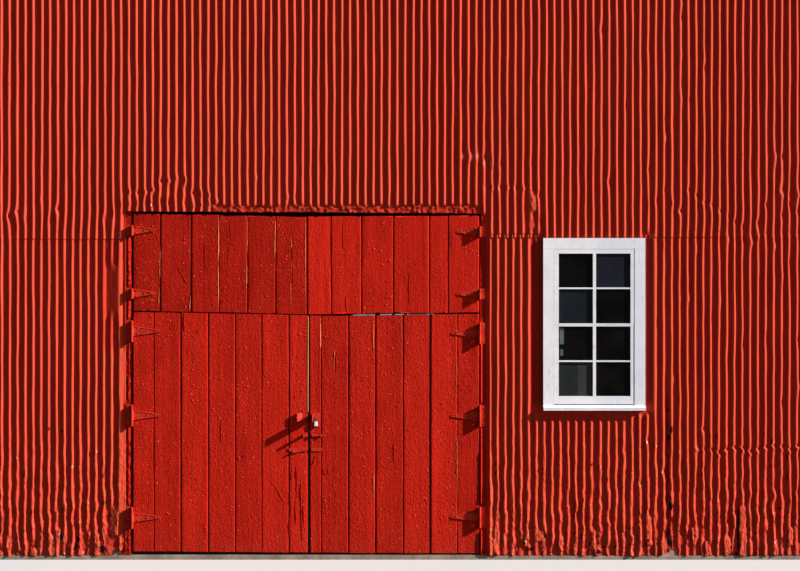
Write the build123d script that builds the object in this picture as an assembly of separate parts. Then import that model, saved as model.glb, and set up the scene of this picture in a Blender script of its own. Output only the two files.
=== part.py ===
from build123d import *
import math
import os

# A stretch of corrugated barn wall with double plank doors and a sash window.
# Millimetres. X runs right along the wall, Z goes up from the ground, and the weather side faces -Y.
# The origin is on the underside of the footing, in the plane of the girts' outer faces.

# Wall
SHEET_COVER = 609.6
SHEETS = 12
WALL_WIDTH = SHEET_COVER * SHEETS
WALL_LEFT = -WALL_WIDTH / 2
WALL_RIGHT = WALL_WIDTH / 2
WALL_TOP = 4950.0

# Corrugated sheet
CORRUGATION_PITCH = SHEET_COVER / 9
CORRUGATION_DEPTH = 22.0
SHEET_GAUGE = 0.8
CREST_X = -28.6
FACETS_PER_PITCH = 6
SAME_POINT = 0.01
LEFT_JAMB_FLAT = 56.0
RIGHT_JAMB_FLAT = 15.0
SHEET_BOTTOM = 36.0
LEFT_LAP_Z = 2754.0
RIGHT_LAP_Z = 2771.0
OVER_DOORS_Z = 2992.0
PATCH_LEFT = 700.0
PATCH_RIGHT = 1215.0
PATCH_BOTTOM = 2798.0
PATCH_TOP = 3211.0

# Footing and timber frame
LIP_FRONT_Y = -12.0
LIP_TOP = 34.0
THRESHOLD_TOP = 40.0
UPSTAND_TOP = 75.0
FOOTING_TOP = 150.0
GIRT_DEPTH = 38.0
GIRT_HEIGHT = 89.0
POST_SIZE = 140.0
STUD_WIDTH = 89.0
FRAME_BACK_Y = GIRT_DEPTH + POST_SIZE
PLATE_THICKNESS = 38.0
TOP_PLATE_HEIGHT = 76.0
HEADER_BOTTOM = 3005.0
HEADER_HEIGHT = 240.0
TRANSOM = (2060.0, 2190.0)
LOW_GIRTS = (150.0, 800.0)
LEFT_GIRTS = (1450.0, 2100.0, 2710.0)
SIDE_GIRT_Z = 1900.0
HIGH_GIRTS = (3450.0, 4050.0, 4500.0)

# Doorway: each leaf turns on a pin in the middle of the gap at its jamb
PIN_LEFT_X = -2306.0
PIN_RIGHT_X = 687.0
PIN_Y = -40.0
PIN_RADIUS = 6.0
PIN_CLEARANCE = 0.05
KNUCKLE_RADIUS = 11.0
KNUCKLE_FLATS = 12
HALF_GAP = 6.0
JAMB_LEFT_X = PIN_LEFT_X - HALF_GAP
JAMB_RIGHT_X = PIN_RIGHT_X + HALF_GAP
JAMB_WIDTH = 90.0
JAMB_STRIP = 50.0
STOP_SIZE = 38.0
STOP_Y = 24.0
STOP_BACK_Y = STOP_Y + STOP_SIZE
HEAD_STOP_Z = 2940.0

# Leaves: planks on ledges and braces, sagging towards the meeting edges
DOOR_FACE_Y = -9.0
PLANK = 25.0
PLANK_BACK_Y = DOOR_FACE_Y + PLANK
PLANK_GAP = 3.0
MEETING_LEFT = (-797.0, -792.0)
MEETING_RIGHT = (-771.0, -779.0)
UPPER_MEETING_LEFT = (-806.0, -806.0)
UPPER_MEETING_RIGHT = (-795.0, -795.0)
LEFT_SEAMS = (-2119.0, -1889.0, -1652.0, -1420.0, -1190.0, -957.0)
RIGHT_SEAMS = (-681.0, -444.0, -211.0, 26.0, 262.0, 494.0)
UPPER_LEFT_SEAMS = (-2064.0, -1796.0, -1560.0, -1315.0, -1071.0)
UPPER_RIGHT_SEAMS = (-595.0, -334.0, -59.0, 253.0, 415.0)
LEDGE_HEIGHT = 140.0
LEDGE_THICKNESS = 25.0
LEDGE_INSET = 40.0
STRIP_CLEARANCE = 7.5
STRIP_GAP = 2.0
STRIP_END_GAP = 10.0

# Strap hinges
STRAP_THICKNESS = 5.0
STRAP_TIP = 24.0
LOWER_STRAP = 243.0
LOWER_STRAP_ROOT = 86.0
LOWER_PLATE_HEIGHT = 184.0
LOWER_KNUCKLE = 84.0
UPPER_STRAP = 194.0
UPPER_STRAP_ROOT = 78.0
UPPER_PLATE_HEIGHT = 90.0
UPPER_KNUCKLE = 40.0
PLATE_FOOT = 45.0
KNUCKLE_SPACE = 1.0
KNUCKLE_AIR = 3.0
LEFT_HINGES = (364.0, 1244.0, 1969.0)
RIGHT_HINGES = (368.0, 1240.0, 1952.0)
UPPER_LEFT_HINGES = (2294.0, 2838.0)
UPPER_RIGHT_HINGES = (2290.0, 2827.0)

# Latches, each kept on its own leaf
LATCH_BAR = 4.0
KEEPER = (-883.0, -842.0, 1194.0, 1263.0)
KEEPER_STAND = 30.0
KEEPER_FOOT = 24.0
HASP_PLATE = (-752.0, -690.0, 1142.0, 1263.0)
HASP_STRAP_LENGTH = 115.0
HASP_STRAP_Z = (1196.0, 1261.0)
STUB = (-831.0, -801.0, 1056.0, 1082.0)
STUB_STAND = 65.0
ROD_RADIUS = 6.0
ROD_FLATS = 12
ROD = (-766.0, -666.0, 1070.0)
ROD_EYES = (-752.0, -680.0)
EYE_HALF = 4.0
EYE_WALL = 3.0
EYE_HEIGHT = 12.0
LOW_BAR_Z = (935.0, 961.0)
LOW_BAR_LEFT = (-957.0, -803.0)
LOW_BAR_RIGHT = (-765.0, -672.0)
LOCK_X = -726.0
LOCK_WIDTH = 31.0
LOCK_DEPTH = 18.0
LOCK_CORNER = 3.0
LOCK_Z = (1146.0, 1196.0)
SHACKLE_RADIUS = 9.5
SHACKLE_ROD = 3.5
SHACKLE_TOP = 1232.0
SHACKLE_BENDS = 6

# Window
CASING_LEFT = 1233.0
CASING_RIGHT = 2111.0
CASING_TOP = 2771.0
CASING_WIDTH = 92.0
CASING_FACE_Y = -31.0
SILL_BOTTOM = 1290.0
SILL_TOP = 1328.0
SILL_NOSE_Y = -64.0
SILL_FALL = 12.0
OPENING_LEFT = CASING_LEFT + CASING_WIDTH
OPENING_RIGHT = CASING_RIGHT - CASING_WIDTH
OPENING_BOTTOM = 1336.0
OPENING_TOP = CASING_TOP - CASING_WIDTH
FRAME_THICKNESS = 24.0
FRAME_LEFT = OPENING_LEFT - FRAME_THICKNESS
FRAME_RIGHT = OPENING_RIGHT + FRAME_THICKNESS
WINDOW_DEPTH = 130.0
SASH_GAP = 2.0
SASH_THICKNESS = 30.0
UPPER_SASH_Y = -29.0
LOWER_SASH_Y = -28.0
MEETING_RAIL_Z = 2023.5
GLASS_COLUMNS = ((1366.5, 1660.5), (1687.0, 1984.5))
UPPER_ROWS = ((2036.0, 2332.5), (2345.5, 2638.0))
LOWER_ROWS = ((1409.5, 1705.0), (1717.5, 2011.0))
GLASS_THICKNESS = 4.0
JOINT = 1.0


def block(x0, x1, y0, y1, z0, z1):
    """A plain box between two corners."""
    centre = ((x0 + x1) / 2, (y0 + y1) / 2, (z0 + z1) / 2)
    return Pos(*centre) * Box(x1 - x0, y1 - y0, z1 - z0)


def prism_y(outline, y0, y1):
    """An outline drawn in X and Z, carried from y0 to y1."""
    face = make_face(Polyline(*[(x, y0, z) for x, z in outline], close=True))
    return extrude(face, amount=y1 - y0, dir=(0, 1, 0))


def prism_z(outline, z0, z1):
    """An outline drawn in X and Y, carried from z0 to z1."""
    face = make_face(Polyline(*[(x, y, z0) for x, y in outline], close=True))
    return extrude(face, amount=z1 - z0, dir=(0, 0, 1))


def prism_x(outline, x0, x1):
    """An outline drawn in Y and Z, carried from x0 to x1."""
    face = make_face(Polyline(*[(x0, y, z) for y, z in outline], close=True))
    return extrude(face, amount=x1 - x0, dir=(1, 0, 0))


def save(name, *pieces):
    """One node: a piece, or like pieces that don't touch."""
    whole = pieces[0] if len(pieces) == 1 else Compound(children=list(pieces))
    export_step(whole, os.path.join("parts", name + ".step"))


# Corrugated cladding


def facet_y(step):
    """The back of a sheet at a facet's edge, counted in steps from a crest: its valleys lie on the girts."""
    return -CORRUGATION_DEPTH * (1 + math.cos(2 * math.pi * step / FACETS_PER_PITCH)) / 2


def corrugation_y(x):
    """The back of a sheet at any x, on the flat facet between two edges."""
    steps = (x - CREST_X) / CORRUGATION_PITCH * FACETS_PER_PITCH
    before = math.floor(steps)
    share = steps - before
    return facet_y(before) * (1 - share) + facet_y(before + 1) * share


def corrugated_line(x0, x1):
    """Points along a sheet's back, with a valley, a crest and the flanks between them at even steps."""
    step = CORRUGATION_PITCH / FACETS_PER_PITCH
    first = math.ceil((x0 - CREST_X) / step + SAME_POINT)
    last = math.floor((x1 - CREST_X) / step - SAME_POINT)
    middle = [CREST_X + step * i for i in range(first, last + 1)]
    return [(x, corrugation_y(x)) for x in [x0, *middle, x1]]


def sheet(x0, x1, z0, z1, flat_left=0.0, flat_right=0.0, lift=0.0):
    """Corrugated sheet, with its edge beaten flat where flat_left or flat_right is given."""
    back = corrugated_line(x0 + flat_left, x1 - flat_right)
    if flat_left:
        back = [(x0, 0.0), (x0 + flat_left, 0.0), *back[1:]]
    if flat_right:
        back = [*back[:-1], (x1 - flat_right, 0.0), (x1, 0.0)]
    back = [(x, y - lift) for x, y in back]
    front = [(x, y - SHEET_GAUGE) for x, y in reversed(back)]
    return prism_z(back + front, z0, z1)


def build_cladding():
    left_edge = JAMB_LEFT_X - JAMB_STRIP
    right_edge = JAMB_RIGHT_X + JAMB_STRIP
    save("cladding_upper_left", sheet(WALL_LEFT, left_edge, LEFT_LAP_Z, WALL_TOP))
    save("cladding_over_doors", sheet(left_edge, right_edge, OVER_DOORS_Z, WALL_TOP))
    save("cladding_upper_right", sheet(right_edge, WALL_RIGHT, RIGHT_LAP_Z, WALL_TOP))
    lower_left = sheet(WALL_LEFT, left_edge, SHEET_BOTTOM, LEFT_LAP_Z, flat_right=LEFT_JAMB_FLAT)
    save("cladding_lower_left", lower_left)
    beside_door = sheet(right_edge, CASING_LEFT, SHEET_BOTTOM, RIGHT_LAP_Z, flat_left=RIGHT_JAMB_FLAT)
    save("cladding_beside_door", beside_door)
    save("cladding_under_window", sheet(CASING_LEFT, CASING_RIGHT, SHEET_BOTTOM, SILL_BOTTOM))
    save("cladding_lower_right", sheet(CASING_RIGHT, WALL_RIGHT, SHEET_BOTTOM, RIGHT_LAP_Z))
    patch = sheet(PATCH_LEFT, PATCH_RIGHT, PATCH_BOTTOM, PATCH_TOP, lift=SHEET_GAUGE)
    save("cladding_patch", patch)


# Footing and timber frame


def build_footing():
    outline = [
        (LIP_FRONT_Y, 0.0),
        (LIP_FRONT_Y, LIP_TOP),
        (0.0, LIP_TOP),
        (0.0, FOOTING_TOP),
        (FRAME_BACK_Y, FOOTING_TOP),
        (FRAME_BACK_Y, 0.0),
    ]
    save("footing", prism_x(outline, WALL_LEFT, JAMB_LEFT_X), prism_x(outline, JAMB_RIGHT_X, WALL_RIGHT))
    # the threshold steps up behind the leaves, which close against it
    threshold = [
        (LIP_FRONT_Y, 0.0),
        (LIP_FRONT_Y, THRESHOLD_TOP),
        (STOP_Y, THRESHOLD_TOP),
        (STOP_Y, UPSTAND_TOP),
        (FRAME_BACK_Y, UPSTAND_TOP),
        (FRAME_BACK_Y, 0.0),
    ]
    save("threshold", prism_x(threshold, JAMB_LEFT_X, JAMB_RIGHT_X))


def upright(x0, x1):
    """A post or stud from the sill plate to the top plate."""
    foot = FOOTING_TOP + PLATE_THICKNESS
    return block(x0, x1, GIRT_DEPTH, FRAME_BACK_Y, foot, WALL_TOP - TOP_PLATE_HEIGHT)


def girt(x0, x1, z):
    """A flat rail nailed across the outside of the posts."""
    return block(x0, x1, 0.0, GIRT_DEPTH, z, z + GIRT_HEIGHT)


def beam(x0, x1, z0, z1, front_y=GIRT_DEPTH):
    """A timber along the wall, flush with the back of the posts."""
    return block(x0, x1, front_y, FRAME_BACK_Y, z0, z1)


def build_posts():
    foot_top = FOOTING_TOP + PLATE_THICKNESS
    left_plate = beam(WALL_LEFT, JAMB_LEFT_X, FOOTING_TOP, foot_top)
    right_plate = beam(JAMB_RIGHT_X, WALL_RIGHT, FOOTING_TOP, foot_top)
    save("sill_plates", left_plate, right_plate)
    left_end = upright(WALL_LEFT, WALL_LEFT + POST_SIZE)
    right_end = upright(WALL_RIGHT - POST_SIZE, WALL_RIGHT)
    save("end_posts", left_end, right_end)
    left_post = upright(JAMB_LEFT_X - POST_SIZE, JAMB_LEFT_X)
    right_post = upright(JAMB_RIGHT_X, JAMB_RIGHT_X + POST_SIZE)
    save("door_posts", left_post, right_post)
    left_stud = upright(FRAME_LEFT - STUD_WIDTH, FRAME_LEFT)
    right_stud = upright(FRAME_RIGHT, FRAME_RIGHT + STUD_WIDTH)
    save("window_studs", left_stud, right_stud)

    # the transom carries the stop between the lower leaves and the hatch above them
    header_top = HEADER_BOTTOM + HEADER_HEIGHT
    header = beam(JAMB_LEFT_X, JAMB_RIGHT_X, HEADER_BOTTOM, header_top)
    transom = beam(JAMB_LEFT_X, JAMB_RIGHT_X, *TRANSOM, front_y=STOP_BACK_Y)
    save("door_header", header, transom)
    middle = (JAMB_LEFT_X + JAMB_RIGHT_X) / 2
    plate_bottom = WALL_TOP - TOP_PLATE_HEIGHT
    save("header_stud", beam(middle - STUD_WIDTH / 2, middle + STUD_WIDTH / 2, header_top, plate_bottom))
    save("top_plate", beam(WALL_LEFT, WALL_RIGHT, plate_bottom, WALL_TOP))


def build_girts():
    left_end = JAMB_LEFT_X - JAMB_WIDTH
    right_start = JAMB_RIGHT_X + JAMB_WIDTH
    high = [girt(WALL_LEFT, WALL_RIGHT, z) for z in (*HIGH_GIRTS, WALL_TOP - GIRT_HEIGHT)]
    save("girts_above_doors", girt(left_end, right_start, HEADER_BOTTOM), *high)
    save("girts_left", *[girt(WALL_LEFT, left_end, z) for z in (*LOW_GIRTS, *LEFT_GIRTS)])
    over_window = OPENING_TOP + FRAME_THICKNESS
    under_window = SILL_BOTTOM - GIRT_HEIGHT
    right = [girt(right_start, WALL_RIGHT, z) for z in (*LOW_GIRTS, under_window, over_window)]
    beside = [girt(right_start, FRAME_LEFT, SIDE_GIRT_Z), girt(FRAME_RIGHT, WALL_RIGHT, SIDE_GIRT_Z)]
    save("girts_right", *right, *beside)


def stop(x0, x1, z0, z1):
    """A strip behind the leaves' back faces."""
    return block(x0, x1, STOP_Y, STOP_BACK_Y, z0, z1)


def build_jambs():
    left_end = JAMB_LEFT_X - JAMB_WIDTH
    right_start = JAMB_RIGHT_X + JAMB_WIDTH
    left_jamb = block(left_end, JAMB_LEFT_X, 0.0, GIRT_DEPTH, FOOTING_TOP, HEADER_BOTTOM)
    right_jamb = block(JAMB_RIGHT_X, right_start, 0.0, GIRT_DEPTH, FOOTING_TOP, HEADER_BOTTOM)
    save("jamb_boards", left_jamb, right_jamb)
    stop_left = JAMB_LEFT_X + STOP_SIZE
    stop_right = JAMB_RIGHT_X - STOP_SIZE
    save(
        "door_stops",
        stop(JAMB_LEFT_X, stop_left, UPSTAND_TOP, HEADER_BOTTOM),
        stop(stop_right, JAMB_RIGHT_X, UPSTAND_TOP, HEADER_BOTTOM),
        stop(stop_left + JOINT, stop_right - JOINT, *TRANSOM),
        stop(stop_left + JOINT, stop_right - JOINT, HEAD_STOP_Z, HEADER_BOTTOM),
    )


# Door leaves


class Leaf:
    """One leaf: its hinge edge, leaning meeting edge, seams between planks and sloping ends."""

    def __init__(self, hinge_x, meeting, seams, bottom, top, turns=True):
        # meeting holds x at the bottom and at the top
        # bottom and top each hold the height at the hinge edge and at the meeting edge
        self.hinge_x = hinge_x
        self.meeting = meeting
        self.seams = seams
        self.bottom = bottom
        self.top = top
        self.turns = turns
        self.side = 1 if meeting[0] > hinge_x else -1

    def height(self, ends, x):
        """The height of a sloping end at x."""
        share = (x - self.hinge_x) / (self.meeting[1] - self.hinge_x)
        return ends[0] + (ends[1] - ends[0]) * share

    def plank(self, bottom_x0, bottom_x1, top_x0, top_x1):
        corners = [
            (bottom_x0, self.height(self.bottom, bottom_x0)),
            (bottom_x1, self.height(self.bottom, bottom_x1)),
            (top_x1, self.height(self.top, top_x1)),
            (top_x0, self.height(self.top, top_x0)),
        ]
        return prism_y(corners, DOOR_FACE_Y, PLANK_BACK_Y)

    def planks(self):
        """The planks from left to right, with a crack between each two."""
        half = PLANK_GAP / 2
        cuts = [(x, x) for x in self.seams]
        ends = [(self.hinge_x, self.hinge_x), *cuts, self.meeting]
        if self.side < 0:
            ends = [self.meeting, *cuts, (self.hinge_x, self.hinge_x)]
        made = []
        for i in range(len(ends) - 1):
            left = 0.0 if i == 0 else half
            right = 0.0 if i == len(ends) - 2 else half
            (low_a, high_a), (low_b, high_b) = ends[i], ends[i + 1]
            made.append(self.plank(low_a + left, low_b - right, high_a + left, high_b - right))
        return made

    def rail_ends(self):
        """Where the ledges start and stop, kept clear of the stops and of the other leaf."""
        hinge_end = self.hinge_x + self.side * LEDGE_INSET
        free_end = self.meeting[0] - self.side * LEDGE_INSET
        return min(hinge_end, free_end), max(hinge_end, free_end)

    def ledge(self, z):
        x0, x1 = self.rail_ends()
        half = LEDGE_HEIGHT / 2
        return block(x0, x1, PLANK_BACK_Y, PLANK_BACK_Y + LEDGE_THICKNESS, z - half, z + half)

    def brace(self, low_ledge, high_ledge):
        """A brace that rises from the hinge side of one ledge to the meeting side of the next."""
        x0, x1 = self.rail_ends()
        z0 = low_ledge + LEDGE_HEIGHT / 2
        z1 = high_ledge - LEDGE_HEIGHT / 2
        slope = math.atan2(z1 - z0, x1 - x0)
        foot = min(LEDGE_HEIGHT / math.sin(slope), (x1 - x0) / 3)
        outline = [(x0, z0), (x0 + foot, z0), (x1, z1), (x1 - foot, z1)]
        if self.side < 0:
            outline = [(x0 + x1 - x, z) for x, z in outline]
        return prism_y(outline, PLANK_BACK_Y, PLANK_BACK_Y + LEDGE_THICKNESS)


LEFT_EDGE = PIN_LEFT_X + HALF_GAP
RIGHT_EDGE = PIN_RIGHT_X - HALF_GAP
LEFT_LEAF = Leaf(LEFT_EDGE, MEETING_LEFT, LEFT_SEAMS, (71.0, 60.0), (2137.0, 2107.0))
RIGHT_LEAF = Leaf(RIGHT_EDGE, MEETING_RIGHT, RIGHT_SEAMS, (53.0, 60.0), (2120.0, 2102.0))
HATCH_LEFT = Leaf(
    LEFT_EDGE, UPPER_MEETING_LEFT, UPPER_LEFT_SEAMS, (2146.0, 2116.0), (2984.0, 2954.0), turns=False
)
HATCH_RIGHT = Leaf(
    RIGHT_EDGE, UPPER_MEETING_RIGHT, UPPER_RIGHT_SEAMS, (2132.0, 2114.0), (2965.0, 2957.0), turns=False
)


def meeting_strip():
    """A strip on the left leaf's back that all but closes the gap and clears the right leaf as both swing."""
    x0 = MEETING_LEFT[0] - LEDGE_INSET + STRIP_GAP
    z0 = UPSTAND_TOP + STRIP_END_GAP
    z1 = TRANSOM[0] - STRIP_END_GAP
    low = MEETING_RIGHT[0] - STRIP_CLEARANCE
    high = MEETING_RIGHT[1] - STRIP_CLEARANCE
    outline = [(x0, z0), (low, z0), (high, z1), (x0, z1)]
    return prism_y(outline, PLANK_BACK_Y, PLANK_BACK_Y + LEDGE_THICKNESS)


def hatch_strip():
    """A strip behind the joint of the two fixed hatch leaves, from the transom's stop to the head's."""
    x0 = UPPER_MEETING_LEFT[0] - LEDGE_INSET + STRIP_GAP
    x1 = UPPER_MEETING_RIGHT[0] + LEDGE_INSET - STRIP_GAP
    z0 = TRANSOM[1] + STRIP_END_GAP
    z1 = HEAD_STOP_Z - STRIP_END_GAP
    return block(x0, x1, PLANK_BACK_Y, PLANK_BACK_Y + LEDGE_THICKNESS, z0, z1)


# Strap hinges


def knuckle(pin_x, z0, z1, radius=KNUCKLE_RADIUS):
    """The rolled end of a plate, with the flats that its rolling leaves."""
    return Pos(pin_x, PIN_Y, z0) * extrude(RegularPolygon(radius, KNUCKLE_FLATS), amount=z1 - z0)


def pin(leaf, pin_x, z0, z1, radius=PIN_RADIUS):
    """A round pin where the leaf turns, and a plainer one in a hatch that is nailed shut."""
    if leaf.turns:
        return Pos(pin_x, PIN_Y, (z0 + z1) / 2) * Cylinder(radius, z1 - z0)
    return knuckle(pin_x, z0, z1, radius)


def upright_plate(a, b, y0, y1, z0, z1):
    """A plate between two x values in either order."""
    return block(min(a, b), max(a, b), y0, y1, z0, z1)


def strap(leaf, pin_x, z, length, root, knuckle_height):
    """A tapered strap on the planks, turned out at the leaf's edge and rolled round the pin."""
    side = leaf.side
    x0 = pin_x + side * HALF_GAP
    bar_y = DOOR_FACE_Y - STRAP_THICKNESS
    nose = STRAP_TIP / 2
    tip_x = x0 + side * length
    upper = [(x0, root / 2), (tip_x - side * nose, nose), (tip_x, nose / 2)]
    outline = [(x, z + h) for x, h in upper] + [(x, z - h) for x, h in reversed(upper)]
    plate = prism_y(outline, bar_y, DOOR_FACE_Y)
    half = knuckle_height / 2
    plate += upright_plate(x0, x0 + side * STRAP_THICKNESS, PIN_Y, bar_y, z - half, z + half)
    plate += knuckle(pin_x, z - half, z + half)
    return plate - pin(leaf, pin_x, z - half, z + half, PIN_RADIUS + PIN_CLEARANCE)


def hinge_plate(leaf, pin_x, z, height, knuckle_height):
    """The jamb's half: a foot on the jamb board, a web out to the pin, and a knuckle at each end of it."""
    side = leaf.side
    half = height / 2
    mid = knuckle_height / 2 + KNUCKLE_SPACE
    face_x = pin_x - side * HALF_GAP
    foot_x = face_x - side * PLATE_FOOT
    web_x = face_x - side * STRAP_THICKNESS
    clear_y = PIN_Y + KNUCKLE_RADIUS + KNUCKLE_AIR
    body = upright_plate(face_x, foot_x, -STRAP_THICKNESS, 0.0, z - half, z + half)
    body += upright_plate(face_x, web_x, clear_y, 0.0, z - half, z + half)
    for z0, z1 in ((z - half, z - mid), (z + mid, z + half)):
        body += upright_plate(face_x, web_x, PIN_Y, clear_y, z0, z1)
        body += knuckle(pin_x, z0, z1)
    return body + pin(leaf, pin_x, z - mid, z + mid)


def lower_strap(leaf, pin_x, z):
    return strap(leaf, pin_x, z, LOWER_STRAP, LOWER_STRAP_ROOT, LOWER_KNUCKLE)


def upper_strap(leaf, pin_x, z):
    return strap(leaf, pin_x, z, UPPER_STRAP, UPPER_STRAP_ROOT, UPPER_KNUCKLE)


def lower_plate(leaf, pin_x, z):
    return hinge_plate(leaf, pin_x, z, LOWER_PLATE_HEIGHT, LOWER_KNUCKLE)


def upper_plate(leaf, pin_x, z):
    return hinge_plate(leaf, pin_x, z, UPPER_PLATE_HEIGHT, UPPER_KNUCKLE)


def build_doors():
    save("left_door_planks", *LEFT_LEAF.planks())
    save("right_door_planks", *RIGHT_LEAF.planks())
    save("upper_left_door", *HATCH_LEFT.planks())
    save("upper_right_door", *HATCH_RIGHT.planks())
    lowers = (
        ("left_door", LEFT_LEAF, PIN_LEFT_X, LEFT_HINGES),
        ("right_door", RIGHT_LEAF, PIN_RIGHT_X, RIGHT_HINGES),
    )
    uppers = (
        (HATCH_LEFT, PIN_LEFT_X, UPPER_LEFT_HINGES),
        (HATCH_RIGHT, PIN_RIGHT_X, UPPER_RIGHT_HINGES),
    )
    plates = []
    for name, leaf, pin_x, heights in lowers:
        ledges = [leaf.ledge(z) for z in heights]
        if leaf is LEFT_LEAF:
            ledges.append(meeting_strip())
        save(name + "_ledges", *ledges)
        save(name + "_braces", leaf.brace(heights[0], heights[1]), leaf.brace(heights[1], heights[2]))
        save(name + "_straps", *[lower_strap(leaf, pin_x, z) for z in heights])
        plates += [lower_plate(leaf, pin_x, z) for z in heights]
    hatch_ledges = [hatch_strip()]
    hatch_straps = []
    for leaf, pin_x, heights in uppers:
        hatch_ledges += [leaf.ledge(z) for z in heights]
        hatch_straps += [upper_strap(leaf, pin_x, z) for z in heights]
        plates += [upper_plate(leaf, pin_x, z) for z in heights]
    save("upper_door_ledges", *hatch_ledges)
    save("upper_door_straps", *hatch_straps)
    save("hinge_plates", *plates)


# Latches


def left_latches():
    """A raised keeper, a stub of strap that stands out from the leaf, and the left half of the low bar."""
    x0, x1, z0, z1 = KEEPER
    out_y = DOOR_FACE_Y - KEEPER_STAND
    plate_y = DOOR_FACE_Y - LATCH_BAR
    outline = [
        (x0 - LATCH_BAR, DOOR_FACE_Y),
        (x0 - LATCH_BAR, out_y),
        (x0, out_y),
        (x1, plate_y),
        (x1 + KEEPER_FOOT, plate_y),
        (x1 + KEEPER_FOOT, DOOR_FACE_Y),
        (x1 - LATCH_BAR, DOOR_FACE_Y),
        (x0, out_y + LATCH_BAR * 2),
        (x0, DOOR_FACE_Y),
    ]
    keeper = prism_z(outline, z0, z1)
    x0, x1, z0, z1 = STUB
    stub = block(x0, x0 + LATCH_BAR, DOOR_FACE_Y - STUB_STAND, DOOR_FACE_Y, z0, z1)
    stub += block(x0, x1, plate_y, DOOR_FACE_Y, z0, z1)
    bar = block(*LOW_BAR_LEFT, DOOR_FACE_Y - 2 * LATCH_BAR, DOOR_FACE_Y, *LOW_BAR_Z)
    return keeper, stub, bar


def hasp():
    """A plate on the leaf with its strap folded straight out."""
    x0, x1, z0, z1 = HASP_PLATE
    plate = block(x0, x1, DOOR_FACE_Y - LATCH_BAR, DOOR_FACE_Y, z0, z1)
    return plate + block(x0, x0 + LATCH_BAR, DOOR_FACE_Y - HASP_STRAP_LENGTH, DOOR_FACE_Y, *HASP_STRAP_Z)


def padlock():
    """A chamfered body hanging on the hasp's plate, with a bow of round rod."""
    z0, z1 = LOCK_Z
    lock_y = DOOR_FACE_Y - LATCH_BAR - LOCK_DEPTH / 2
    body = Pos(LOCK_X, lock_y, (z0 + z1) / 2) * Box(LOCK_WIDTH, LOCK_DEPTH, z1 - z0)
    body = chamfer(body.edges().filter_by(Axis.Z), LOCK_CORNER)
    arch_z = SHACKLE_TOP - SHACKLE_ROD - SHACKLE_RADIUS
    turns = [math.pi * i / SHACKLE_BENDS for i in range(SHACKLE_BENDS + 1)]
    arch = [(LOCK_X - SHACKLE_RADIUS * math.cos(a), arch_z + SHACKLE_RADIUS * math.sin(a)) for a in turns]
    line = [(arch[0][0], z1), *arch, (arch[-1][0], z1)]
    path = Polyline(*[(x, lock_y, z) for x, z in line])
    section = Plane(origin=path @ 0, z_dir=path % 0) * RegularPolygon(SHACKLE_ROD, ROD_FLATS)
    return body + sweep(section, path=path, transition=Transition.RIGHT)


def right_latches():
    """A bolt in its two eyes, and the right half of the low bar."""
    x0, x1, z = ROD
    rod_y = DOOR_FACE_Y - LATCH_BAR - ROD_RADIUS
    section = Plane.YZ * RegularPolygon(ROD_RADIUS, ROD_FLATS)
    rod = Pos(x0, rod_y, z) * extrude(section, amount=x1 - x0)
    front_y = rod_y - ROD_RADIUS - EYE_WALL
    for x in ROD_EYES:
        rod += block(x - EYE_HALF, x + EYE_HALF, front_y, DOOR_FACE_Y, z - EYE_HEIGHT, z + EYE_HEIGHT)
    bar = block(*LOW_BAR_RIGHT, DOOR_FACE_Y - 2 * LATCH_BAR, DOOR_FACE_Y, *LOW_BAR_Z)
    return rod, bar


def build_latches():
    save("left_door_latches", *left_latches())
    save("right_door_hasp", hasp())
    save("right_door_padlock", padlock())
    save("right_door_latches", *right_latches())


# Window


def window_sill():
    """A nosing under the casings, and the part inside the opening that the frame and the sash stand on."""
    outline = [
        (SILL_NOSE_Y, SILL_BOTTOM),
        (SILL_NOSE_Y, SILL_TOP - SILL_FALL),
        (CASING_FACE_Y, SILL_TOP),
        (0.0, SILL_TOP),
        (0.0, SILL_BOTTOM),
    ]
    sill = prism_x(outline, CASING_LEFT, CASING_RIGHT)
    sill += block(OPENING_LEFT, OPENING_RIGHT, CASING_FACE_Y, 0.0, SILL_BOTTOM, OPENING_BOTTOM)
    return sill + block(FRAME_LEFT, FRAME_RIGHT, 0.0, WINDOW_DEPTH, SILL_BOTTOM, OPENING_BOTTOM)


def build_casing():
    side_top = OPENING_TOP - JOINT
    right_edge = CASING_RIGHT - CASING_WIDTH
    save(
        "window_casing",
        block(CASING_LEFT, OPENING_LEFT, CASING_FACE_Y, 0.0, SILL_TOP, side_top),
        block(right_edge, CASING_RIGHT, CASING_FACE_Y, 0.0, SILL_TOP, side_top),
        block(CASING_LEFT, CASING_RIGHT, CASING_FACE_Y, 0.0, OPENING_TOP, CASING_TOP),
    )
    save("window_sill", window_sill())
    save(
        "window_frame",
        block(FRAME_LEFT, OPENING_LEFT, 0.0, WINDOW_DEPTH, OPENING_BOTTOM, side_top),
        block(OPENING_RIGHT, FRAME_RIGHT, 0.0, WINDOW_DEPTH, OPENING_BOTTOM, side_top),
        block(FRAME_LEFT, FRAME_RIGHT, 0.0, WINDOW_DEPTH, OPENING_TOP, OPENING_TOP + FRAME_THICKNESS),
    )


def sash(y, z0, z1, rows):
    """Stiles, rails and glazing bars in one frame, open at each pane."""
    body = block(OPENING_LEFT + SASH_GAP, OPENING_RIGHT - SASH_GAP, y, y + SASH_THICKNESS, z0, z1)
    for x0, x1 in GLASS_COLUMNS:
        for low, high in rows:
            body -= block(x0, x1, y - 1, y + SASH_THICKNESS + 1, low, high)
    return body


def panes(y, rows):
    middle = y + SASH_THICKNESS / 2
    back = middle + GLASS_THICKNESS
    return [block(x0, x1, middle, back, low, high) for x0, x1 in GLASS_COLUMNS for low, high in rows]


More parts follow.
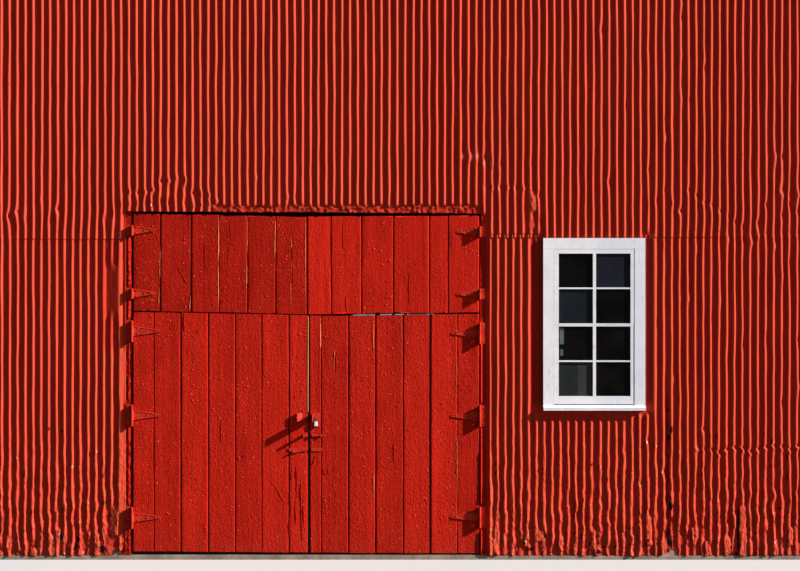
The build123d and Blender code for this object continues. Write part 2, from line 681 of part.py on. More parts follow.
def build_window():
    build_casing()
    save("upper_sash", sash(UPPER_SASH_Y, MEETING_RAIL_Z + JOINT / 2, OPENING_TOP - SASH_GAP, UPPER_ROWS))
    save("lower_sash", sash(LOWER_SASH_Y, OPENING_BOTTOM, MEETING_RAIL_Z - JOINT / 2, LOWER_ROWS))
    save("window_glass", *panes(UPPER_SASH_Y, UPPER_ROWS), *panes(LOWER_SASH_Y, LOWER_ROWS))


os.makedirs("parts", exist_ok=True)
build_footing()
build_posts()
build_girts()
build_jambs()
build_cladding()
build_doors()
build_latches()
build_window()
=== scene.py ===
import math
import random
from collections import namedtuple

import bpy
import numpy as np
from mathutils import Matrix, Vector


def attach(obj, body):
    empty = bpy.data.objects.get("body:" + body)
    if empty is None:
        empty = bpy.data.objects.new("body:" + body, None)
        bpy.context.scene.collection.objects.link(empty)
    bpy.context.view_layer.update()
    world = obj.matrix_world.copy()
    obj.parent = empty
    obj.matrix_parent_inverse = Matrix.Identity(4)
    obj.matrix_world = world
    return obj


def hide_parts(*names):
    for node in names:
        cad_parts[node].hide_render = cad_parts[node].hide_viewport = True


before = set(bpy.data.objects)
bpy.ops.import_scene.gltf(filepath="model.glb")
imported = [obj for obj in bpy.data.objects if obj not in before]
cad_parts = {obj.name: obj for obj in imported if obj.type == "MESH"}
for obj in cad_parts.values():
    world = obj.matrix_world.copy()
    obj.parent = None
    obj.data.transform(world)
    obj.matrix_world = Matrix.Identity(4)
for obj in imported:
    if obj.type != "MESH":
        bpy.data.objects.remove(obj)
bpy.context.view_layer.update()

# Everything is in metres: X along the wall, -Y towards the viewer, Z up from the ground.
# Marks on the wall are given in picture units: U to the right and V down, 8.62 mm each.
UNIT = 0.00862
U_MIDDLE, V_GROUND = 400.0, 559.5
PICTURE_WIDTH, PICTURE_MIDDLE = 800, 285.5
MM_PER_M = 1000.0

# The sheets: thickness, the waves' half depth, sharpness and width in U, and the width of a mesh column
GAUGE = 0.0008
HALF_DEPTH, CREST_SHARPNESS = 0.011, 1.50
STRIPE = 7.9
SHEET_STEP = 0.0065

# The wall ends at -EDGE and EDGE
EDGE = 3.6576
WALL_TOP = 4.95


def u_of(x):
    return x / UNIT + U_MIDDLE


def v_of(z):
    return V_GROUND - z / UNIT


def x_at(u):
    return (u - U_MIDDLE) * UNIT


def z_at(v):
    return (V_GROUND - v) * UNIT


def smooth_step(a, b, t):
    t = np.clip((t - a) / (b - a), 0.0, 1.0)
    return t * t * (3 - 2 * t)


def field(x, z, size_x, size_z, seed, smooth=True):
    """Noise between -1 and 1, with cells of the given size, rounded or with straight folds."""
    table = np.random.default_rng(seed).uniform(-1, 1, (64, 64))
    gx, gz = np.asarray(x) / size_x + 1000, np.asarray(z) / size_z + 1000
    ix, iz = np.floor(gx).astype(int), np.floor(gz).astype(int)
    fx, fz = gx - ix, gz - iz
    if smooth:
        fx, fz = fx * fx * (3 - 2 * fx), fz * fz * (3 - 2 * fz)
    a, b = table[ix % 64, iz % 64], table[(ix + 1) % 64, iz % 64]
    c, d = table[ix % 64, (iz + 1) % 64], table[(ix + 1) % 64, (iz + 1) % 64]
    return (a * (1 - fx) + b * fx) * (1 - fz) + (c * (1 - fx) + d * fx) * fz


def ripple(x, size, seed, smooth=True):
    """Noise along one line."""
    return field(x, x * 0, size, 1.0, seed, smooth)


# Materials


class Nodes:
    """A short way to write a material's node tree."""

    def __init__(self, name):
        self.material = bpy.data.materials.new(name)
        self.material.use_nodes = True
        self.tree = self.material.node_tree
        self.shader = self.tree.nodes["Principled BSDF"]
        self.place = self.add("ShaderNodeTexCoord").outputs["Object"]

    def add(self, kind, **settings):
        node = self.tree.nodes.new(kind)
        for key, value in settings.items():
            setattr(node, key, value)
        return node

    def link(self, value, socket):
        if isinstance(value, bpy.types.NodeSocket):
            self.tree.links.new(value, socket)
        else:
            socket.default_value = value

    def link_colour(self, value, socket):
        self.link(value if isinstance(value, bpy.types.NodeSocket) else (*value, 1.0), socket)

    def stretched(self, scale, shift=(0.0, 0.0, 0.0)):
        node = self.add("ShaderNodeMapping")
        self.link(self.place, node.inputs["Vector"])
        node.inputs["Scale"].default_value = scale
        node.inputs["Location"].default_value = shift
        return node.outputs["Vector"]

    def noise(self, scale, detail=3.0, rough=0.55, stretch=(1, 1, 1), shift=(0, 0, 0), twist=0.0):
        node = self.add("ShaderNodeTexNoise")
        self.link(self.stretched(stretch, shift), node.inputs["Vector"])
        node.inputs["Scale"].default_value = scale
        node.inputs["Detail"].default_value = detail
        node.inputs["Roughness"].default_value = rough
        node.inputs["Distortion"].default_value = twist
        return node.outputs["Fac"]

    def cells(self, scale, stretch=(1, 1, 1)):
        node = self.add("ShaderNodeTexVoronoi")
        self.link(self.stretched(stretch), node.inputs["Vector"])
        node.inputs["Scale"].default_value = scale
        return node.outputs["Distance"]

    def band(self, value, low, high, a=0.0, b=1.0):
        """Maps low..high to a..b, held outside."""
        node = self.add("ShaderNodeMapRange")
        self.link(value, node.inputs["Value"])
        for key, number in (("From Min", low), ("From Max", high), ("To Min", a), ("To Max", b)):
            node.inputs[key].default_value = number
        return node.outputs["Result"]

    def math(self, operation, a, b=0.0):
        node = self.add("ShaderNodeMath", operation=operation)
        self.link(a, node.inputs[0])
        self.link(b, node.inputs[1])
        return node.outputs[0]

    def times(self, a, b):
        return self.math("MULTIPLY", a, b)

    def plus(self, a, b):
        return self.math("ADD", a, b)

    def mix(self, share, a, b):
        node = self.add("ShaderNodeMix", data_type="RGBA")
        self.link(share, node.inputs["Factor"])
        self.link_colour(a, node.inputs["A"])
        self.link_colour(b, node.inputs["B"])
        return node.outputs["Result"]

    def axis(self, name):
        node = self.add("ShaderNodeSeparateXYZ")
        self.link(self.place, node.inputs[0])
        return node.outputs[name]

    def attribute(self, name):
        return self.add("ShaderNodeAttribute", attribute_name=name).outputs["Fac"]

    def bump(self, height, distance, strength=1.0):
        node = self.add("ShaderNodeBump")
        node.inputs["Strength"].default_value = strength
        node.inputs["Distance"].default_value = distance
        self.link(height, node.inputs["Height"])
        return node

    def finish(self, colour, rough, bump=None, metallic=0.0, specular=0.25):
        self.link_colour(colour, self.shader.inputs["Base Color"])
        self.link(rough, self.shader.inputs["Roughness"])
        self.link(metallic, self.shader.inputs["Metallic"])
        self.shader.inputs["Specular IOR Level"].default_value = specular
        if bump is not None:
            self.link(bump.outputs["Normal"], self.shader.inputs["Normal"])
        return self.material


def scaled(colour, factor):
    """A colour, lighter or darker."""
    return tuple(part * factor for part in colour)


def red_sheet_paint():
    """Faded red on corrugated steel. A point's tone bleaches it and paints a highlight, a high one paints
    pale glints, and a negative one paints shade and rot.
    """
    n = Nodes("red_sheet_paint")
    clouds = n.noise(1.3, 4.0)
    streaks = n.noise(1.0, 5.0, stretch=(30, 30, 0.8))
    colour = n.mix(n.band(clouds, 0.35, 0.65), (0.345, 0.0165, 0.0080), (0.415, 0.0215, 0.0105))
    colour = n.mix(n.band(streaks, 0.45, 0.8, 0.0, 0.45), colour, (0.300, 0.0170, 0.0075))
    tone = n.attribute("tone")
    # crests bleached and painted lighter and more orange, as a painted highlight where the sun falls
    colour = n.mix(n.band(tone, 0.0, 0.5, 0.0, 1.0), colour, (0.425, 0.049, 0.022))
    # dull, rusty freckles, thicker near the ground
    height = n.axis("Z")
    freckles = n.noise(55, 3.0, 0.6)
    edge = n.band(height, 0.0, 1.1, 0.63, 0.80)
    rusty = n.math("GREATER_THAN", freckles, edge)
    colour = n.mix(n.times(rusty, 0.75), colour, (0.060, 0.014, 0.009))
    chalk = n.noise(48, 3.0, 0.6, shift=(7, 0, 3))
    chalk = n.math("GREATER_THAN", chalk, n.band(height, 0.0, 1.1, 0.68, 0.80))
    colour = n.mix(n.times(chalk, 0.6), colour, (0.520, 0.230, 0.170))
    dust = n.times(n.band(height, 0.02, 0.30, 0.30, 0.0), n.band(n.noise(9, 4.0), 0.35, 0.7))
    colour = n.mix(dust, colour, (0.300, 0.090, 0.055))
    # painted shade where the tone is slightly negative, beside the casing, and deeper still in rot
    colour = n.mix(n.band(tone, -0.05, 0.0, 0.6, 0.0), colour, (0.090, 0.0035, 0.0020))
    # painted highlights, with bare metal showing, where the folds glint and the paint has cracked; then rust
    # holes and rot, with the nicks' painted shade
    colour = n.mix(n.band(tone, 0.7, 1.4, 0.0, 0.8), colour, (0.640, 0.430, 0.400))
    crumbs = n.band(n.noise(130, 3.0, 0.6), 0.35, 0.65, -0.22, 0.22)
    rot = n.plus(n.times(tone, -1.0), crumbs)
    colour = n.mix(n.band(rot, 0.28, 0.52, 0.0, 0.88), colour, (0.040, 0.009, 0.006))
    colour = n.mix(n.band(rot, 0.62, 0.80), colour, (0.004, 0.0012, 0.001))
    # heights in millimetres: small dents, crumpled towards the ground
    fine = n.noise(170, 3.0, 0.6)
    broad = n.noise(30, 3.0)
    crumple = n.cells(44, stretch=(1.0, 1.0, 0.55))
    low = n.band(height, 0.15, 1.35, 1.0, 0.0)
    deep = n.band(n.noise(8, 2.0), 0.36, 0.60, 1.5, 9.5)
    crumpled = n.times(n.times(low, crumple), deep)
    relief = n.plus(n.times(fine, 0.25), n.times(broad, 1.6))
    relief = n.plus(relief, crumpled)
    return n.finish(colour, n.band(clouds, 0.3, 0.7, 0.5, 0.62), n.bump(relief, 1 / MM_PER_M), specular=0.05)


def zinc_back():
    """The sheets' unpainted backs: spangled zinc with rust."""
    n = Nodes("zinc_back")
    flakes = n.cells(55)
    colour = n.mix(n.band(flakes, 0.0, 0.9), (0.30, 0.31, 0.32), (0.46, 0.47, 0.48))
    rust = n.noise(4.0, 5.0, 0.65)
    colour = n.mix(n.band(rust, 0.56, 0.72, 0.0, 0.85), colour, (0.190, 0.082, 0.040))
    metal = n.band(rust, 0.54, 0.66, 0.75, 0.0)
    rough = n.band(rust, 0.4, 0.7, 0.38, 0.85)
    return n.finish(colour, rough, n.bump(n.noise(60, 3.0), 0.0008, 0.4), metallic=metal)


def plank_paint(name, light, dark, wear=0.5, shift=0.0, coarse=1.0):
    """Red oil paint on rough sawn planks: grain, raised fibres, fine checks and worn spots."""
    n = Nodes(name)
    place = (shift, 0.0, shift * 3)
    board = n.attribute("tone")
    grain = n.noise(1.0, 6.0, 0.62, stretch=(150, 150, 9), shift=place, twist=0.6)
    wide = n.noise(1.0, 4.0, 0.5, stretch=(34, 34, 1.6), shift=place)
    blot = n.noise(3.2, 5.0, 0.6, shift=place)
    colour = n.mix(n.band(blot, 0.3, 0.7), dark, light)
    colour = n.mix(board, colour, scaled(light, 1.28))
    colour = n.mix(n.band(grain, 0.5, 0.75, 0.0, 0.25), colour, scaled(dark, 0.55))
    # short checks along the grain, open to the bare dark wood
    checks = n.noise(1.0, 2.0, 0.4, stretch=(110, 110, 4.2), shift=(shift + 5, 0, 2), twist=0.25)
    open_check = n.band(checks, 0.750, 0.780)
    colour = n.mix(n.times(open_check, 0.85), colour, (0.030, 0.004, 0.003))
    flakes = n.noise(46, 2.0, 0.5, stretch=(1, 1, 0.8), shift=(shift, 4, 1))
    worn = n.band(flakes, 0.715, 0.745, 0.0, wear)
    colour = n.mix(worn, colour, (0.560, 0.160, 0.095))
    pits = n.noise(40, 2.0, 0.5, shift=(shift, 2, 5))
    pit = n.band(pits, 0.700, 0.735)
    colour = n.mix(n.times(pit, 0.8), colour, (0.060, 0.004, 0.003))
    height = n.axis("Z")
    splash = n.times(n.band(height, 0.05, 0.35, 0.25, 0.0), n.band(n.noise(7, 4.0), 0.4, 0.7))
    colour = n.mix(splash, colour, (0.190, 0.040, 0.025))
    # dirt with painted shade, nearly black, on the seams' sides and along the plank ends
    colour = n.mix(n.band(n.times(board, -1.0), 0.25, 0.85), colour, (0.0060, 0.0020, 0.0015))
    # heights in millimetres: fibres, long waves of the plank and a coarse, short-fibred skin
    skin = n.noise(1.0, 4.0, 0.62, stretch=(74, 74, 46), shift=place, twist=0.5)
    patchy = n.band(n.noise(2.4, 3.0, shift=place), 0.35, 0.65, 5.0 * coarse, 10.5 * coarse)
    relief = n.plus(n.times(grain, 0.9), n.times(wide, 3.0))
    relief = n.plus(relief, n.times(skin, patchy))
    relief = n.math("SUBTRACT", relief, n.times(open_check, 2.0))
    relief = n.math("SUBTRACT", relief, n.times(pit, 4.0))
    relief = n.plus(relief, n.times(worn, 2.5))
    rough = n.band(blot, 0.3, 0.7, 0.55, 0.72)
    return n.finish(colour, rough, n.bump(relief, 1 / MM_PER_M), specular=0.02)


def iron_paint():
    """Red paint on iron, rusting and peeled in spots."""
    n = Nodes("iron_paint")
    blot = n.noise(14, 5.0, 0.6)
    colour = n.mix(n.band(blot, 0.35, 0.65), (0.340, 0.0150, 0.0080), (0.480, 0.0300, 0.0150))
    rust = n.noise(60, 5.0, 0.7)
    colour = n.mix(n.band(rust, 0.60, 0.68, 0.0, 0.8), colour, (0.140, 0.040, 0.018))
    peeled = n.band(n.noise(62, 2.0, 0.5, shift=(3, 0, 8)), 0.62, 0.66, 0.0, 0.7)
    colour = n.mix(peeled, colour, (0.520, 0.090, 0.060))
    relief = n.plus(n.times(blot, 1.0), n.times(rust, 0.3))
    return n.finish(colour, n.band(rust, 0.5, 0.7, 0.42, 0.8), n.bump(relief, 0.0015, 0.7), specular=0.04)


def bare_timber(name, dark, light, upright=True):
    """Bare wood, with its grain running up or along the wall."""
    n = Nodes(name)
    grain = n.noise(1.0, 6.0, 0.6, stretch=(60, 60, 60), twist=1.2)
    streak = n.noise(1.0, 5.0, 0.6, stretch=(70, 70, 2.2) if upright else (2.2, 70, 70), twist=0.4)
    colour = n.mix(n.band(streak, 0.36, 0.64), dark, light)
    board = n.attribute("tone")
    colour = n.mix(n.band(board, 0.0, 0.45, 0.0, 0.45), colour, scaled(dark, 0.9))
    # dirt with painted shade, nearly black, on the back's chamfers beside the seams
    colour = n.mix(n.band(board, -0.3, -0.9), colour, (0.012, 0.009, 0.007))
    colour = n.mix(n.band(n.noise(2.0, 4.0), 0.5, 0.8, 0.0, 0.5), colour, scaled(dark, 0.8))
    relief = n.plus(n.times(streak, 0.9), n.times(grain, 0.2))
    return n.finish(colour, n.band(grain, 0.3, 0.7, 0.65, 0.85), n.bump(relief, 0.0025, 0.7), specular=0.05)


def concrete():
    n = Nodes("concrete")
    sand = n.noise(160, 4.0, 0.7)
    patch = n.noise(5.0, 5.0, 0.6)
    colour = n.mix(n.band(patch, 0.35, 0.65), (0.190, 0.140, 0.105), (0.330, 0.255, 0.200))
    colour = n.mix(n.band(sand, 0.5, 0.75, 0.0, 0.5), colour, (0.120, 0.090, 0.070))
    # red run-off from the sheets
    stain = n.noise(1.0, 4.0, stretch=(14, 14, 3))
    colour = n.mix(n.band(stain, 0.55, 0.75, 0.0, 0.5), colour, (0.230, 0.080, 0.045))
    # painted shade: black from just behind the doors' faces back
    colour = n.mix(n.band(n.axis("Y"), 0.016, 0.021), colour, (0.012, 0.009, 0.007))
    relief = n.plus(n.times(sand, 0.4), n.times(patch, 1.2))
    return n.finish(colour, n.band(sand, 0.3, 0.7, 0.75, 0.9), n.bump(relief, 0.003, 0.8), specular=0.2)


def white_paint():
    n = Nodes("white_paint")
    grain = n.noise(1.0, 5.0, 0.6, stretch=(70, 70, 6), twist=0.4)
    blot = n.noise(6.0, 5.0, 0.6)
    colour = n.mix(n.band(blot, 0.35, 0.7), (0.730, 0.715, 0.725), (0.640, 0.622, 0.640))
    # painted bluish shade over the window's right part, where the casing shades the sashes
    shade = n.band(n.axis("X"), 1.66, 1.76, 0.0, 0.30)
    colour = n.mix(shade, colour, (0.440, 0.470, 0.590))
    dirt = n.noise(26, 5.0, 0.7, stretch=(1, 1, 0.4))
    colour = n.mix(n.band(dirt, 0.58, 0.72, 0.0, 0.55), colour, (0.400, 0.330, 0.320))
    flakes = n.noise(90, 5.0, 0.75, shift=(3, 0, 1))
    colour = n.mix(n.band(flakes, 0.67, 0.70, 0.0, 0.8), colour, (0.250, 0.190, 0.160))
    relief = n.plus(n.times(grain, 0.8), n.times(n.band(flakes, 0.6, 0.7), -0.4))
    return n.finish(colour, n.band(dirt, 0.4, 0.7, 0.5, 0.7), n.bump(relief, 0.0016, 0.7), specular=0.3)


# Hazy parts of the panes, and painted pale reflections at one pane's edge: left, right, bottom, top and
# colour
PANES = (
    (1.660, 2.000, 2.330, 2.650, (0.0120, 0.0130, 0.0210)),
    (1.350, 1.670, 2.030, 2.340, (0.0110, 0.0150, 0.0200)),
    (1.350, 1.670, 1.400, 1.710, (0.0210, 0.0250, 0.0230)),
    (1.530, 1.670, 1.400, 1.690, (0.0330, 0.0370, 0.0340)),
    (1.374, 1.414, 1.855, 2.000, (0.0900, 0.1100, 0.1200)),
    (1.378, 1.408, 1.755, 1.815, (0.0700, 0.0850, 0.0900)),
)


def old_glass():
    """Dark panes: three of them hazy, and one with painted pale reflections at its edge."""
    n = Nodes("old_glass")
    haze = n.noise(3.4, 4.0, 0.6, shift=(1.7, 0, 0.4))
    dust = n.noise(30, 5.0, 0.7)
    x, z = n.axis("X"), n.axis("Z")

    def within(value, low, high, soft):
        return n.times(n.band(value, low, low + soft), n.band(value, high - soft, high, 1.0, 0.0))

    def patch(left, right, low, high, soft=0.004):
        return n.times(within(x, left, right, soft), within(z, low, high, soft))

    colour = n.mix(n.band(haze, 0.40, 0.70), (0.0012, 0.0009, 0.0008), (0.0046, 0.0036, 0.0034))
    veil = n.band(haze, 0.35, 0.65, 0.55, 1.0)
    for left, right, low, high, shade in PANES:
        colour = n.mix(n.times(patch(left, right, low, high), veil), colour, shade)
    colour = n.mix(n.band(dust, 0.66, 0.8, 0.0, 0.25), colour, (0.040, 0.034, 0.032))
    wave = n.noise(7.0, 2.0)
    return n.finish(colour, n.band(dust, 0.4, 0.8, 0.05, 0.28), n.bump(wave, 0.002, 0.25), specular=0.03)


# The padlock's body: height of its top and foot, and X of its left side
LOCK_TOP, LOCK_FOOT, LOCK_SIDE = 1.195, 1.152, -0.7325


def lock_steel():
    n = Nodes("lock_steel")
    scratch = n.noise(1.0, 4.0, stretch=(160, 160, 900))
    blot = n.noise(70, 4.0)
    colour = n.mix(n.band(blot, 0.4, 0.7), (0.760, 0.770, 0.790), (0.560, 0.550, 0.545))
    # painted shade on the left side and the foot of the body, and the shackle painted dark
    shackle = n.band(n.axis("Z"), LOCK_TOP - 0.004, LOCK_TOP)
    kept_dark = n.math("MAXIMUM", shackle, n.band(n.axis("X"), LOCK_SIDE, LOCK_SIDE - 0.004))
    kept_dark = n.math("MAXIMUM", kept_dark, n.band(n.axis("Z"), LOCK_FOOT + 0.003, LOCK_FOOT))
    colour = n.mix(n.times(kept_dark, 0.95), colour, (0.016, 0.014, 0.013))
    return n.finish(colour, n.band(scratch, 0.3, 0.7, 0.28, 0.45), n.bump(scratch, 0.0004, 0.4), metallic=0.4)


def old_blue_paint():
    n = Nodes("old_blue_paint")
    blot = n.noise(30, 4.0)
    colour = n.mix(n.band(blot, 0.35, 0.65), (0.050, 0.400, 0.500), (0.130, 0.560, 0.680))
    return n.finish(colour, n.band(blot, 0.3, 0.7, 0.6, 0.8), n.bump(blot, 0.001), specular=0.1)


def painted_shade_black():
    """Boards behind the gaps, painted black as shade."""
    n = Nodes("painted_shade_black")
    grain = n.noise(1.0, 4.0, stretch=(60, 60, 5))
    colour = n.mix(n.band(grain, 0.35, 0.65), (0.0050, 0.0030, 0.0020), (0.0150, 0.0090, 0.0060))
    return n.finish(colour, n.band(grain, 0.3, 0.7, 0.8, 0.95), n.bump(grain, 0.001), specular=0.0)


RED_SHEET = red_sheet_paint()
ZINC = zinc_back()
PLANKS = plank_paint("plank_paint", (0.435, 0.0135, 0.0056), (0.325, 0.0088, 0.0036))
PLANKS_DULL = plank_paint("plank_paint_dull", (0.360, 0.0106, 0.0044), (0.250, 0.0066, 0.0028), 0.6, 4.0)
PLANKS_NEW = plank_paint("plank_paint_new", (0.420, 0.0126, 0.0050), (0.345, 0.0088, 0.0036), 0.3, 9.0, 0.65)
FLAKY = plank_paint("plank_paint_flaky", (0.430, 0.0160, 0.0070), (0.330, 0.0100, 0.0045), 0.9, 14.0, 1.6)
CHIPPED = plank_paint("plank_paint_chipped", (0.620, 0.0400, 0.0180), (0.480, 0.0240, 0.0100), 0.9, 21.0, 0.4)
IRON = iron_paint()
OLD_TIMBER = (0.060, 0.036, 0.022), (0.150, 0.098, 0.062)
POSTS = bare_timber("posts", *OLD_TIMBER)
RAILS = bare_timber("rails", *OLD_TIMBER, upright=False)
PLANK_BACKS = bare_timber("plank_backs", (0.090, 0.060, 0.040), (0.210, 0.150, 0.100))
BARE_EDGE = bare_timber("bare_edge", (0.560, 0.130, 0.040), (0.740, 0.210, 0.070))
BARE_LATH = bare_timber("bare_lath", (0.700, 0.330, 0.100), (0.860, 0.450, 0.160))
CONCRETE = concrete()
WHITE = white_paint()
GLASS = old_glass()
STEEL = lock_steel()
SHADE_BLACK = painted_shade_black()
PALE_BLUE = old_blue_paint()


# Meshes


class Shape:
    """Collects closed bodies that end up in one mesh, with a material number and a flag for each face."""

    def __init__(self):
        self.verts, self.faces, self.smooth, self.indices, self.tone = [], [], [], [], []

    def add(self, verts, faces, smooth=False, index=0, tone=0.0):
        start = len(self.verts)
        self.verts += [tuple(map(float, v)) for v in verts]
        self.faces += [tuple(start + i for i in face) for face in faces]
        self.smooth += [smooth] * len(faces) if isinstance(smooth, bool) else list(smooth)
        self.indices += [index] * len(faces) if isinstance(index, int) else list(index)
        self.tone += [tone] * len(verts) if isinstance(tone, float) else list(tone)

    def place(self, name, materials, body, slot, replaced=()):
        """One mesh object that rides on a body."""
        mesh = bpy.data.meshes.new(name)
        mesh.from_pydata(self.verts, [], self.faces)
        for material in materials:
            mesh.materials.append(material)
        mesh.polygons.foreach_set("material_index", np.array(self.indices, dtype=np.int32))
        mesh.polygons.foreach_set("use_smooth", np.array(self.smooth, dtype=bool))
        tones = mesh.attributes.new("tone", "FLOAT", "POINT").data
        tones.foreach_set("value", np.array(self.tone, dtype=np.float32))
        mesh.update()
        piece = bpy.data.objects.new(name, mesh)
        bpy.context.scene.collection.objects.link(piece)
        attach(piece, body)
        if replaced:
            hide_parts(*replaced)


BOX_FACES = ((0, 1, 2, 3), (7, 6, 5, 4), (4, 5, 1, 0), (5, 6, 2, 1), (6, 7, 3, 2), (7, 4, 0, 3))


def loft(rings):
    """A closed body through rings of points."""
    sides, last = len(rings[0]), (len(rings) - 1) * len(rings[0])
    faces = [tuple(range(sides - 1, -1, -1))]
    for i in range(len(rings) - 1):
        for j in range(sides):
            k = (j + 1) % sides
            faces.append((i * sides + j, i * sides + k, (i + 1) * sides + k, (i + 1) * sides + j))
    faces.append(tuple(last + j for j in range(sides)))
    return [v for ring in rings for v in ring], faces


def grid_faces(rows, cols, start=0, flip=False):
    """Four-sided faces between the points of a grid."""
    r, c = np.meshgrid(np.arange(rows - 1), np.arange(cols - 1), indexing="ij")
    a = (r * cols + c + start).ravel()
    if flip:
        return np.stack([a, a + cols, a + 1 + cols, a + 1], 1)
    return np.stack([a, a + 1, a + 1 + cols, a + cols], 1)


def plate(front, thickness):
    """A closed plate from a grid of front points, rows going up and columns to the right."""
    rows, cols = front.shape[:2]
    back = front + np.array([0.0, thickness, 0.0])
    verts = np.concatenate([front.reshape(-1, 3), back.reshape(-1, 3)])
    count = rows * cols
    faces = [grid_faces(rows, cols), grid_faces(rows, cols, count, True)]
    ring = [(0, c) for c in range(cols)] + [(r, cols - 1) for r in range(1, rows)]
    ring += [(rows - 1, c) for c in range(cols - 2, -1, -1)] + [(r, 0) for r in range(rows - 2, 0, -1)]
    line = np.array([r * cols + c for r, c in ring])
    after = np.roll(line, -1)
    rim = np.stack([after, line, line + count, after + count], 1)
    faces.append(rim)
    flags = [True] * (len(faces[0]) + len(faces[1])) + [False] * len(rim)
    index = [0] * len(faces[0]) + [1] * len(faces[1]) + [0] * len(rim)
    return verts, np.concatenate(faces).tolist(), flags, index


# Corrugated sheets


# Where each run of crests starts and ends: U, and the count of the crest
UPPER_CRESTS = (
    (-38.6, -4), (33.0, 5), (41.8, 6), (175.6, 23), (183.9, 24), (404.2, 52), (412.7, 53), (670.7, 86),
    (679.7, 87), (835.0, 107),
)
LOWER_CRESTS = (
    (-38.6, -5), (9.4, 1), (111.3, 14), (120.0, 15), (489.2, 62), (527.9, 67), (535.8, 68), (590.8, 75),
    (599.6, 76), (662.6, 84), (670.9, 85), (835.0, 106),
)

